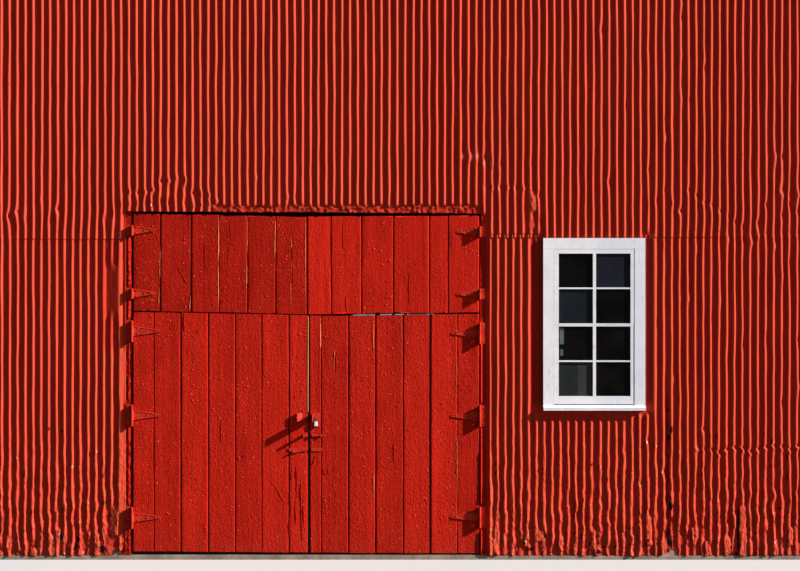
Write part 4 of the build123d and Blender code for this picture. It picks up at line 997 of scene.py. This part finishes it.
# Where the points of a plank's face lie, from 0 to 1, and how far its rounded arrises drop back at them
ACROSS = (0.0, 0.006, 0.018, 0.045, 0.12, 0.25, 0.38, 0.5, 0.62, 0.75, 0.88, 0.955, 0.982, 0.994, 1.0)
DROP = (0.0058, 0.0026, 0.0006, 0, 0, 0, 0, 0, 0, 0, 0, 0, 0.0006, 0.0026, 0.0058)
FACE_POINTS = len(ACROSS)
# Where its rings of points lie, from 0 at the foot to 1 at the top
UP = np.concatenate([[0.0, 0.0014], np.linspace(0.012, 0.988, 42), [0.9986, 1.0]])[:, None]
CHAMFER_X, CHAMFER_Y = 0.005, 0.004


def plank_rings(leaf, number, rng, seed, first, last):
    """Rings of points around a plank, from its foot to its top."""
    (low_a, high_a), (low_b, high_b) = leaf.edges[number], leaf.edges[number + 1]
    gap_a, gap_b = leaf.gaps[number] / 2, leaf.gaps[number + 1] / 2
    u, t = np.array(ACROSS)[None, :], UP
    cup, lean = rng.uniform(-0.0008, 0.0024), rng.uniform(-0.0022, 0.0022)
    proud = rng.uniform(-0.0006, 0.0010)
    left = low_a + (high_a - low_a) * t
    right = low_b + (high_b - low_b) * t
    x = left + gap_a + (right - left - gap_a - gap_b) * u
    z0 = leaf.end(leaf.bottom, x) + rng.uniform(-0.002, 0.002)
    z1 = leaf.end(leaf.top, x) + rng.uniform(-0.002, 0.002)
    z = z0 + (z1 - z0) * t
    z = z + (t < 0.001) * 0.003 * ripple(x, 0.02, seed)
    z = z - (t > 0.999) * 0.003 * np.abs(ripple(x, 0.02, seed + 1))
    y = FACE_Y + np.array(DROP)[None, :] * (1 + 0.35 * field(x * 3, z, 0.3, 0.10, seed + 2))
    y = y - cup * (2 * u - 1) ** 2 - lean * (2 * u - 1) - proud + 0.0016 * field(x, z, 0.055, 0.45, seed + 3)
    wander = 0.0016 * field(x * 0 + number, z, 1.0, 0.16, seed + 4)
    if first and leaf.edges[0] == (leaf.hinge, leaf.hinge):
        wander = wander * 0.0
    x = x + wander * ((u > 0.9) * (0 if last else 1) + (u < 0.1) * (0 if first else 1))
    # the back's four points, with chamfers beside the seams
    backs = [
        np.stack([side[:, 0] + inset, np.full(len(t), BACK_Y - chamfer), z[:, end]], 1)
        for side, end, inset, chamfer in (
            (right, -1, 0.0, CHAMFER_Y), (right, -1, -CHAMFER_X, 0.0),
            (left, 0, CHAMFER_X, 0.0), (left, 0, 0.0, CHAMFER_Y),
        )
    ]
    return np.concatenate([np.stack([x, y, z], 2), np.stack(backs, 1)], 1)


def plank(shape, leaf, number, rng, seed, first, last, tone):
    """One plank: rounded arrises, a cupped and slightly wavy face, ragged ends, and a back of bare wood."""
    rings = plank_rings(leaf, number, rng, seed, first, last)
    rows, cols = rings.shape[:2]
    faces, flags, index = [], [], []
    for r in range(rows - 1):
        for c in range(cols):
            d = (c + 1) % cols
            faces.append((r * cols + c, r * cols + d, (r + 1) * cols + d, (r + 1) * cols + c))
            flags.append(c < FACE_POINTS - 1)
            index.append(int(FACE_POINTS <= c < FACE_POINTS + 3))
    faces.append(tuple(range(cols - 1, -1, -1)))
    faces.append(tuple((rows - 1) * cols + c for c in range(cols)))
    flags += [False, False]
    index += [0, 0]
    shades = np.full((rows, cols), float(tone))
    # the seams' sides, the back's chamfers and the plank ends get dirt with painted shade
    shades[:, [FACE_POINTS, FACE_POINTS + 3]] = GRIME_AND_SHADE
    shades[[0, -1], :FACE_POINTS] = GRIME_AND_SHADE
    if not first or leaf.hinge > leaf.meeting[0]:
        shades[:, 0] = GRIME_AND_SHADE
    if not last or leaf.hinge < leaf.meeting[0]:
        shades[:, FACE_POINTS - 1] = GRIME_AND_SHADE
    shape.add(rings.reshape(-1, 3), faces, flags, index, shades.ravel())


def leaf_planks(name, leaf, material, body, replaced, seed, tones=None):
    """A leaf's planks in one piece."""
    rng = random.Random(seed)
    shape = Shape()
    count = len(leaf.edges) - 1
    for number in range(count):
        tone = rng.uniform(0.0, 0.45) if tones is None else tones[number]
        plank(shape, leaf, number, rng, seed * 50 + number * 7, number == 0, number == count - 1, tone)
    shape.place(name, [material, PLANK_BACKS], body, "red_planks", (replaced,))


leaf_planks("left_leaf_planks", LOWER_LEFT, PLANKS, "left_door", "left_door_planks", 3)
leaf_planks("right_leaf_planks", LOWER_RIGHT, PLANKS, "right_door", "right_door_planks", 5)
leaf_planks("hatch_left_planks", HATCH_LEFT, PLANKS_DULL, "wall", "upper_left_door", 7)
HATCH_TONES = (0.9, 0.35, 0.2, 0.3, 0.25, 0.2)
leaf_planks("hatch_right_planks", HATCH_RIGHT, PLANKS_NEW, "wall", "upper_right_door", 11, HATCH_TONES)


def prism(shape, outline, y0, y1):
    """A box between two depths; the outline is four (X, Z) corners."""
    shape.add([(x, y, z) for y in (y0, y1) for x, z in outline], BOX_FACES)


def strip(shape, z0, z1, left, right, y0, y1):
    """An upright strip; left and right are its edges at z0 and z1."""
    prism(shape, [(left[0], z0), (right[0], z0), (right[1], z1), (left[1], z1)], y0, y1)


def lone_strip(name, material, body, *sizes):
    """A piece that is one upright strip."""
    shape = Shape()
    strip(shape, *sizes)
    shape.place(name, [material], body, "bare_timber")


def gap_lath():
    """Behind the left leaf's edge, a thin lath that leaves a hair's breadth, and a return beside it."""
    low, high = (place - 0.0016 for place in LOWER_RIGHT.meeting)
    shape = Shape()
    foot, head = 0.068, 2.096
    for width, y0, y1 in ((0.022, 0.0165, 0.0205), (0.0056, 0.0206, 0.0370)):
        strip(shape, foot, head, (low - width, high - width), (low, high), y0, y1)
    # the lath is painted black as shade
    shape.place("gap_lath", [SHADE_BLACK], "left_door", "bare_timber")


gap_lath()
# the hatch's lath is painted black as shade
lone_strip("hatch_lath", SHADE_BLACK, "wall", 2.120, 2.950, (-0.826, -0.826), (-0.782, -0.782), 0.0165, 0.0205)
# the left leaf's edge is bare wood in its upper part
lone_strip(
    "bare_edge", BARE_LATH, "left_door", 1.275, 2.095, (-0.7948, -0.7932), (-0.7890, -0.7870), -0.0086, 0.0120
)


def ridge(shape, points, width, height, rng, lean):
    """A raised splinter or split edge along a line of picture places, with a jagged width."""
    line = []
    for (u0, v0), (u1, v1) in zip(points, points[1:]):
        steps = max(2, int(math.hypot(u1 - u0, v1 - v0) * UNIT / 0.03))
        line += [(u0 + (u1 - u0) * i / steps, v0 + (v1 - v0) * i / steps) for i in range(steps)]
    line.append(points[-1])
    flat = [Vector((x_at(u), 0.0, z_at(v))) for u, v in line]
    rings = []
    for i, p in enumerate(flat):
        ahead = (flat[min(i + 1, len(flat) - 1)] - flat[max(i - 1, 0)]).normalized()
        side = Vector((ahead.z, 0.0, -ahead.x))
        end = min(i, len(flat) - 1 - i) / max(1, (len(flat) - 1) / 2)
        share = min(1.0, 0.15 + end * 1.6) * rng.uniform(0.55, 1.15)
        half = side * width * share / 2
        p = p + side * rng.uniform(-0.3, 0.3) * width
        top = Vector((0.0, -height * share, 0.0))
        base = Vector((0.0, FACE_Y + 0.004, 0.0))
        rings.append([p + base - half, p + base + half, p + half * lean + Vector((0, FACE_Y, 0)) + top])
    verts = [v for ring in rings for v in ring]
    faces = [(0, 1, 2)]
    for i in range(len(rings) - 1):
        a, b = i * 3, i * 3 + 3
        faces += [(a, b, b + 1, a + 1), (a + 1, b + 1, b + 2, a + 2), (a + 2, b + 2, b, a)]
    last = len(rings) * 3 - 3
    faces.append((last + 2, last + 1, last))
    shape.add(verts, faces)


def dome(shape, x, y, z, radius, height, sides=10, rings=3):
    """A nail or bolt head, domed towards the viewer."""
    around = [2 * math.pi * i / sides for i in range(sides)]
    verts = []
    for j in range(rings):
        a = math.pi / 2 * j / rings
        r = radius * math.cos(a)
        verts += [(x + r * math.cos(b), y - height * math.sin(a), z + r * math.sin(b)) for b in around]
    base = [(x + radius * math.cos(b), y + 0.002, z + radius * math.sin(b)) for b in around]
    verts = base + verts + [(x, y - height, z)]
    faces = [tuple(range(sides - 1, -1, -1))]
    for j in range(rings):
        for i in range(sides):
            k = (i + 1) % sides
            faces.append((j * sides + i, j * sides + k, (j + 1) * sides + k, (j + 1) * sides + i))
    tip = len(verts) - 1
    for i in range(sides):
        faces.append((rings * sides + i, rings * sides + (i + 1) % sides, tip))
    faces = [tuple(reversed(face)) for face in faces]
    shape.add(verts, faces, True)


def leaf_nails(name, leaf, rows, body, seed, extra):
    """Nail heads in pairs over the ledges, and a few strays."""
    rng = random.Random(seed)
    shape = Shape()
    for (a, b), (c, d) in zip(leaf.edges, leaf.edges[1:]):
        low, high = min(a, b, c, d), max(a, b, c, d)
        for z in rows:
            for share in (0.2, 0.8):
                x = low + (high - low) * share + rng.uniform(-0.012, 0.012)
                dome(shape, x, ON_FACE, z + rng.uniform(-0.03, 0.03), 0.0052, 0.0030, sides=8, rings=2)
        for _ in range(extra):
            x = rng.uniform(low + 0.02, high - 0.02)
            z = rng.uniform(leaf.bottom[0] + 0.05, leaf.top[1] - 0.05)
            size = rng.uniform(0.003, 0.005), rng.uniform(0.0018, 0.003)
            dome(shape, x, ON_FACE, z, *size, sides=8, rings=2)
    shape.place(name, [IRON], body, "red_iron")


leaf_nails("left_leaf_nails", LOWER_LEFT, (0.335, 0.395, 1.215, 1.275, 1.94, 2.0), "left_door", 1, 5)
leaf_nails("right_leaf_nails", LOWER_RIGHT, (0.34, 0.40, 1.21, 1.27, 1.92, 1.98), "right_door", 2, 5)
leaf_nails("hatch_left_nails", HATCH_LEFT, (2.26, 2.33, 2.80, 2.87), "wall", 3, 3)
leaf_nails("hatch_right_nails", HATCH_RIGHT, (2.26, 2.32, 2.80, 2.86), "wall", 4, 2)


def chips(name, leaf, count, body, seed):
    """Small chips and blisters of paint that stand off the planks."""
    rng = random.Random(seed)
    shape = Shape()
    low, high = min(leaf.hinge, *leaf.meeting) + 0.03, max(leaf.hinge, *leaf.meeting) - 0.03
    for _ in range(count):
        x, z = rng.uniform(low, high), rng.uniform(leaf.bottom[0] + 0.03, leaf.top[1] - 0.03)
        if min(abs(x - side) for edge in leaf.edges for side in edge) < 0.018:
            continue
        size = rng.uniform(0.0045, 0.0095), rng.uniform(0.0032, 0.0050)
        dome(shape, x, ON_FACE, z, *size, sides=5, rings=1)
    shape.place(name, [CHIPPED], body, "red_planks")


chips("left_leaf_chips", LOWER_LEFT, 240, "left_door", 71)
chips("right_leaf_chips", LOWER_RIGHT, 280, "right_door", 72)
chips("hatch_left_chips", HATCH_LEFT, 120, "wall", 73)
chips("hatch_right_chips", HATCH_RIGHT, 70, "wall", 74)


def splits(name, lines, body, seed, width=0.006, height=0.0035, material=None, slot="red_planks", lean=0.0):
    """Raised ridges along lines of picture places."""
    rng = random.Random(seed)
    shape = Shape()
    for line in lines:
        ridge(shape, line, width, height, rng, lean)
    shape.place(name, [material or PLANKS], body, slot)


# Splits, splinters, scratches and a small hook-shaped mark
splits("left_leaf_splits", (
    ((184.5, 313), (184.2, 332)), ((197, 327), (198, 335)), ((262.5, 323), (262.2, 340)),
    ((262, 475), (270, 480), (279, 492), (286, 508)), ((290, 487), (292, 528)), ((296, 490), (295, 524)),
    ((301, 486), (302, 530)), ((221, 420), (221.6, 446)), ((205, 520), (204.6, 540)),
), "left_door", 21)
WORN = random.Random(77)
WORN_FOOT_U, WORN_FOOT_V = (289, 304), (462, 520)
splits("left_leaf_worn_foot", [
    ((a, b), (a + WORN.uniform(-0.8, 0.8), b + WORN.uniform(10, 24)))
    for a, b in ((WORN.uniform(*WORN_FOOT_U), WORN.uniform(*WORN_FOOT_V)) for _ in range(18))
], "left_door", 28, 0.0075, 0.0050)
splits("right_leaf_splits", (
    ((336.6, 346), (336.0, 376)), ((322, 350), (334, 343.6)), ((431, 504), (436, 514)),
    ((436, 512), (444, 524)), ((346, 510), (346.3, 536)), ((394, 440), (394, 462)),
), "right_door", 22)
splits("right_leaf_scratches", (
    ((312, 466), (316, 470), (322, 473), (330, 473.5), (336, 470.5), (342, 465)), ((323.5, 468), (324, 475)),
    ((328, 467), (328.4, 474)), ((333, 465), (334.5, 472)), ((337.5, 462), (340, 468)),
    ((349, 407), (356, 404), (370, 401.5)), ((321, 366), (326, 362.5)), ((454, 501), (455, 507)),
    ((430, 436), (431, 441)), ((403, 354.5), (406, 356), (409.5, 355)), ((402.5, 352), (407, 352.5)),
    ((372.5, 358), (374.5, 361)),
), "right_door", 25, 0.0050, 0.0038)
splits("right_leaf_hook", (
    ((314.6, 455), (315.0, 459), (313.6, 463), (311.2, 466)),
), "right_door", 26, 0.0085, 0.0080)
splits("hatch_left_splits", (
    ((230, 218), (231, 240), (227, 264)), ((231, 240), (238, 254)), ((262.6, 216), (263, 262)),
    ((292.8, 232), (293.2, 300)), ((176, 262), (187, 284)), ((205, 240), (205.4, 272)),
), "wall", 23)
splits("hatch_right_splits", (
    ((343, 218), (343.3, 250)), ((409, 270), (409.3, 306)), ((451.5, 222), (451.8, 262)),
    ((346, 296), (346.6, 312)),
), "wall", 24)

# Arrises worn to the pale wood, broken into lengths
splits("hatch_left_bare_edges", (
    ((218.9, 217), (218.7, 262)), ((218.6, 266), (218.5, 308)), ((160.3, 246), (159.9, 282)),
    ((159.5, 287), (158.9, 308)), ((190.5, 296), (189.9, 311)), ((247.5, 218), (247.5, 254)),
    ((247.1, 262), (246.9, 300)), ((261.9, 232), (262.9, 252)), ((262.9, 258), (262.5, 270)),
    ((262.6, 276), (262.7, 286)), ((262.8, 292), (262.3, 308)), ((275.5, 219), (274.9, 262)),
    ((291.1, 236), (291.9, 250)), ((292.3, 256), (291.3, 276)), ((290.9, 280), (291.1, 312)),
    ((305.5, 217), (305.3, 311)),
), "wall", 31, 0.0040, 0.0026, BARE_EDGE, "bare_timber", 0.8)
splits("right_leaf_bare_edges", (
    ((320.8, 318), (320.7, 352)), ((334.7, 346), (333.9, 376)), ((373.1, 320), (373.5, 352)),
    ((401.7, 316), (401.9, 350)), ((455.9, 318), (456.1, 345)), ((456.7, 352), (456.9, 398)),
    ((457.1, 430), (457.1, 500)), ((373.9, 470), (374.1, 500)),
), "right_door", 32, 0.0038, 0.0044, BARE_EDGE, "bare_timber", 0.8)


# The pale bits along the right leaf's top edge, from U to U
TOP_BITS = ((353, 375), (380, 392), (395, 404), (407, 434))


def top_edge_bits():
    """Pale blue bits along the top edge of the right leaf."""
    shape = Shape()
    for u0, u1 in TOP_BITS:
        a, b = x_at(u0), x_at(u1)
        z0, z1 = (LOWER_RIGHT.end(LOWER_RIGHT.top, x) for x in (a, b))
        outline = [(a, z0 - 0.001), (b, z1 - 0.001), (b, z1 + 0.0045), (a, z0 + 0.0045)]
        prism(shape, outline, -0.0045, 0.010)
    shape.place("right_leaf_top_edge", [PALE_BLUE], "right_door", "white_wood")


top_edge_bits()


# Jambs: a splintered edge on the left, a bent one on the right, and the facings' feet down to the footing


# A set of strap hinges: side is 1 where the straps run to the right of the pin, root their height there,
# bolt how far a plate's bolts are from its middle, and zone how far the jambs' edges keep clear of a plate
Hinge = namedtuple("Hinge", "name body pin_x side heights length root bolt zone")
LEFT_PIN, RIGHT_PIN = -2.306, 0.687
HINGES = (
    Hinge("left_strap", "left_door", LEFT_PIN, 1, (0.364, 1.244, 1.969), 0.243, 0.086, 0.070, 0.098),
    Hinge("right_strap", "right_door", RIGHT_PIN, -1, (0.368, 1.240, 1.952), 0.243, 0.086, 0.070, 0.098),
    Hinge("hatch_left", "wall", LEFT_PIN, 1, (2.294, 2.838), 0.194, 0.078, 0.030, 0.052),
    Hinge("hatch_right", "wall", RIGHT_PIN, -1, (2.290, 2.827), 0.194, 0.078, 0.030, 0.052),
)


# Over what height a jamb's edge rises again beside a plate
SOFT_END = 0.03


def clear_of_hinges(rows):
    """0 beside a hinge plate and 1 away from it, for both jambs by the left one's heights."""
    clear = np.ones_like(rows)
    for hinge in HINGES:
        if hinge.pin_x == LEFT_PIN:
            for z in hinge.heights:
                clear = clear * smooth_step(hinge.zone, hinge.zone + SOFT_END, np.abs(rows - z))
    return clear


# U of the left jamb's torn edge, at its left and right
TORN_LEFT, TORN_RIGHT = 128.1, 131.2


def splintered_edge():
    """The left jamb board's torn edge, which catches the light and shades the sheet beside it."""
    rows = np.arange(0.046, 2.800, 0.011)
    clear = clear_of_hinges(rows)
    torn = ripple(rows, 0.030, 61, False) + 0.5 * ripple(rows, 0.011, 62, False)
    tall = 0.0062 + 0.0050 * smooth_step(1.80, 1.88, rows)
    height = np.clip(tall + 0.0055 * torn, 0.0014, 0.0150) * clear + 0.0012
    height = np.where(ripple(rows, 0.042, 63, False) > 0.62, 0.0016, height)
    left = x_at(TORN_LEFT + 0.55 * ripple(rows, 0.024, 64, False))
    right = x_at(TORN_RIGHT + 0.45 * ripple(rows, 0.028, 65, False))
    rings = []
    for z, h, a, b in zip(rows, height, left, right):
        top = a + (b - a) * 0.22
        rings.append([(a, -0.0004, z), (top, -h, z), (b, -0.0016, z), (b, 0.002, z), (a, 0.002, z)])
    shape = Shape()
    shape.add(*loft(rings))
    shape.place("splintered_jamb_edge", [FLAKY], "wall", "red_planks")


def right_jamb_edge():
    """The right jamb's bent edge: it rises away from the leaf and shades it, higher towards the ground."""
    rows = np.arange(0.046, 2.080, 0.012)
    torn = ripple(rows, 0.034, 66, False)
    at = (0.05, 0.26, 0.30, 0.90, 0.96, 1.30, 1.45, 2.08)
    tall = np.interp(rows, at, (25.0, 24.5, 22.5, 21.0, 15.0, 15.0, 13.0, 12.0))
    height = np.clip(tall + 2.2 * torn, 1.0, 26.0) / MM_PER_M * clear_of_hinges(rows) + 0.0012
    rings = [
        [(0.6902, -0.0006, z), (0.6975, -h, z), (0.7000, -h, z), (0.7110, 0.0, z)]
        for z, h in zip(rows, height)
    ]
    shape = Shape()
    shape.add(*loft(rings))
    shape.place("right_jamb_edge", [FLAKY], "wall", "red_planks")


def jamb_feet():
    """The lowest bits of both jambs' facings."""
    shape = Shape()
    for left, right in (((-2.400, -2.400), (-2.3135, -2.3125)), ((0.6945, 0.6935), (0.781, 0.781))):
        strip(shape, 0.040, 0.150, left, right, -0.0030, -0.0002)
    shape.place("jamb_feet", [PLANKS_DULL], "wall", "red_planks")


splintered_edge()
right_jamb_edge()
jamb_feet()


# Pieces that keep their CAD form, and the bolts, beads and handle that go with the ironwork


def painted(material, slot, *names):
    """Gives CAD nodes a material. The slot is not used."""
    for name in names:
        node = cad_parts[name]
        node.data.materials.clear()
        node.data.materials.append(material)


painted(
    IRON, "red_iron", "left_door_straps", "right_door_straps", "upper_door_straps", "hinge_plates",
    "left_door_latches", "right_door_latches", "right_door_hasp",
)
painted(STEEL, "lock_steel", "right_door_padlock")
# the door stops are painted black as shade behind the gaps
painted(SHADE_BLACK, "bare_timber", "door_stops")
painted(POSTS, "bare_timber", "end_posts", "door_posts", "window_studs", "header_stud")
painted(
    RAILS, "bare_timber", "sill_plates", "door_header", "top_plate", "girts_above_doors", "girts_left",
    "girts_right", "left_door_ledges", "left_door_braces", "right_door_ledges", "right_door_braces",
    "upper_door_ledges",
)
painted(CONCRETE, "concrete", "footing", "threshold")
painted(WHITE, "white_wood", "window_casing", "window_sill", "window_frame", "upper_sash", "lower_sash")
painted(GLASS, "glass", "window_glass")
painted(PLANKS_DULL, "red_planks", "jamb_boards")

SASH_FACE, STRAP_FACE, PLATE_FACE = -0.028, -0.014, -0.0046

# a strip painted black as the shadow in the gap between the lower sash and the sill
lone_strip(
    "sash_gap", SHADE_BLACK, "wall", 1.3335, 1.3425, (1.326, 1.326), (2.010, 2.010),
    SASH_FACE - 0.0008, SASH_FACE + 0.0010,
)


def latch_handle():
    """The turned-up handle at the left end of the lower latch bar."""
    root_u, tip_u, root_v, slope = 303.0, 292.5, 450.5, 0.12
    verts = []
    for u, proud in ((root_u, 0.004), (tip_u, 0.026)):
        z = z_at(root_v + (root_u - u) * slope)
        for high, y in ((-0.004, 0.002), (0.004, 0.002), (0.004, -proud), (-0.004, -proud)):
            verts.append((x_at(u), FACE_Y + y, z + high))
    shape = Shape()
    shape.add(verts, BOX_FACES)
    shape.place("latch_handle", [IRON], "left_door", "red_iron")


latch_handle()


BOLT_RADIUS, BOLT_HEIGHT = 0.0075, 0.005


def bolt(shape, x, y, z):
    """The domed head of a hinge bolt."""
    dome(shape, x, y, z, BOLT_RADIUS, BOLT_HEIGHT)


def strap_bolts(hinge):
    """Four bolts on each strap."""
    shape = Shape()
    for z in hinge.heights:
        for share, offset in ((0.16, 0.022), (0.16, -0.022), (0.50, 0.0), (0.80, 0.0)):
            x = hinge.pin_x + hinge.side * (0.006 + hinge.length * share)
            bolt(shape, x, STRAP_FACE + 0.0004, z + offset)
    shape.place(hinge.name + "_bolts", [IRON], hinge.body, "red_iron")


def strap_beads(hinge):
    """A rolled bead along each edge of each strap, the lower one narrower and prouder."""
    shape = Shape()
    foot = STRAP_FACE + 0.001
    for z in hinge.heights:
        for edge, wide, proud in ((1, 0.0060, 0.0040), (-1, 0.0050, 0.0050)):
            a = (hinge.pin_x + hinge.side * 0.014, z + edge * (hinge.root / 2 - 0.004))
            b = (hinge.pin_x + hinge.side * (hinge.length - 0.012), z + edge * 0.006)
            verts = []
            for x, zc in (a, b):
                verts += [(x, foot, zc - wide / 2), (x, STRAP_FACE - proud, zc), (x, foot, zc + wide / 2)]
            shape.add(verts, [(0, 1, 2), (5, 4, 3), (0, 3, 4, 1), (1, 4, 5, 2), (2, 5, 3, 0)])
    shape.place(hinge.name + "_beads", [IRON], hinge.body, "red_iron")


def plate_bolts():
    """Two bolts on each plate on the jambs."""
    shape = Shape()
    for hinge in HINGES:
        for z in hinge.heights:
            for offset in (-hinge.bolt, hinge.bolt):
                bolt(shape, hinge.pin_x - hinge.side * 0.030, PLATE_FACE, z + offset)
    shape.place("hinge_plate_bolts", [IRON], "wall", "red_iron")


for make in (strap_bolts, strap_beads):
    for hinge in HINGES:
        make(hinge)
plate_bolts()

# Rows of nails: height, and from where to where along the wall
UPPER_ROWS = (
    (2.81, -EDGE, LEFT_JAMB), (3.05, LEFT_JAMB, RIGHT_JAMB), (2.84, RIGHT_JAMB, EDGE),
    *((z, -EDGE, EDGE) for z in (3.495, 4.095, 4.545, 4.905)),
)
LOWER_ROWS = (
    *((z, -EDGE, LEFT_JAMB - 0.1) for z in (0.20, 0.845, 1.495, 2.145)),
    (0.20, RIGHT_JAMB + 0.05, EDGE), (0.845, RIGHT_JAMB + 0.05, EDGE), (1.945, RIGHT_JAMB + 0.05, 1.153),
    (1.945, 2.211, EDGE),
)


def sheet_nails():
    """Nails on the crests, in rows over the girts."""
    rng = random.Random(8)
    shape = Shape()
    for crests, lift, rows in ((UPPER_CRESTS, UPPER_LIFT, UPPER_ROWS), (LOWER_CRESTS, 0.0, LOWER_ROWS)):
        for z, x0, x1 in rows:
            for count in range(crests[0][1], crests[-1][1], 3):
                x = x_at(crest_place(count, crests))
                if not x0 + 0.03 < x < x1 - 0.03 or rng.random() < 0.15:
                    continue
                zn = z + rng.uniform(-0.02, 0.02)
                y = -float(sheet_surface(np.array(u_of(x)), np.array(v_of(zn)), crests, lift))
                dome(shape, x, y + 0.0006, zn, 0.0065, 0.0030, sides=8, rings=2)
    shape.place("sheet_nails", [RED_SHEET], "wall", "red_sheet")


sheet_nails()


# Light, floor and camera


def sun(name, direction, strength, angle):
    """A distant lamp; the angle, in degrees, softens its shadows."""
    data = bpy.data.lights.new(name, "SUN")
    data.energy = strength
    data.angle = math.radians(angle)
    lamp = bpy.data.objects.new(name, data)
    lamp.rotation_mode = "QUATERNION"
    lamp.rotation_quaternion = Vector(direction).to_track_quat("-Z", "Y")
    bpy.context.scene.collection.objects.link(lamp)


sun("key", (-1.0, 0.27, -0.56), 11.0, 1.2)
sun("fill", (-0.72, 0.66, -0.25), 0.80, 70.0)
sun("back", (0.35, -1.0, -0.55), 2.6, 12.0)


def seen_directly(tree):
    """1 for what the camera sees, straight, mirrored or through glass, and 0 for all other light."""
    rays = tree.nodes.new("ShaderNodeLightPath")
    seen = rays.outputs["Is Camera Ray"]
    for kind in ("Is Glossy Ray", "Is Transmission Ray"):
        either = tree.nodes.new("ShaderNodeMath")
        either.operation = "MAXIMUM"
        tree.links.new(seen, either.inputs[0])
        tree.links.new(rays.outputs[kind], either.inputs[1])
        seen = either.outputs[0]
    return seen


def room():
    """A pale room to look at, which lights the part only dimly."""
    world = bpy.data.worlds.new("room")
    bpy.context.scene.world = world
    world.use_nodes = True
    tree = world.node_tree
    colour = tree.nodes.new("ShaderNodeMix")
    colour.data_type = "RGBA"
    tree.links.new(seen_directly(tree), colour.inputs["Factor"])
    colour.inputs["A"].default_value = (0.056, 0.058, 0.064, 1.0)
    colour.inputs["B"].default_value = (0.80, 0.80, 0.80, 1.0)
    tree.links.new(colour.outputs["Result"], tree.nodes["Background"].inputs["Color"])


FLOOR_HALF = 60.0


def floor():
    """A pale floor, darker to all light that the camera doesn't see directly."""
    n = Nodes("floor_paper")
    fine = n.noise(40, 3.0)
    pale = n.mix(n.band(fine, 0.3, 0.7), (0.425, 0.420, 0.415), (0.445, 0.440, 0.435))
    colour = n.mix(seen_directly(n.tree), (0.100, 0.085, 0.075), pale)
    material = n.finish(colour, n.band(fine, 0.3, 0.7, 0.85, 0.95), specular=0.1)
    mesh = bpy.data.meshes.new("floor")
    corners = [(x * FLOOR_HALF, y * FLOOR_HALF, 0) for x, y in ((-1, -1), (1, -1), (1, 1), (-1, 1))]
    mesh.from_pydata(corners, [], [(0, 1, 2, 3)])
    mesh.materials.append(material)
    ground = bpy.data.objects.new("floor", mesh)
    bpy.context.scene.collection.objects.link(ground)


room()
floor()

# The camera stands far back and looks straight at the wall, as the picture does
CAMERA_HEIGHT, CAMERA_BACK = 3.05, 17.0
SENSOR = 36.0
VIEW_MIDDLE, VIEW_WIDTH = z_at(PICTURE_MIDDLE), PICTURE_WIDTH * UNIT
camera = bpy.data.objects.new("camera", bpy.data.cameras.new("camera"))
bpy.context.scene.collection.objects.link(camera)
camera.location = (0.0, -CAMERA_BACK, CAMERA_HEIGHT)
camera.rotation_euler = (math.radians(90), 0.0, 0.0)
camera.data.sensor_width = SENSOR
camera.data.lens = SENSOR * CAMERA_BACK / VIEW_WIDTH
camera.data.shift_y = (VIEW_MIDDLE - CAMERA_HEIGHT) / VIEW_WIDTH
bpy.context.scene.camera = camera
bpy.context.scene.view_settings.view_transform = "Standard"
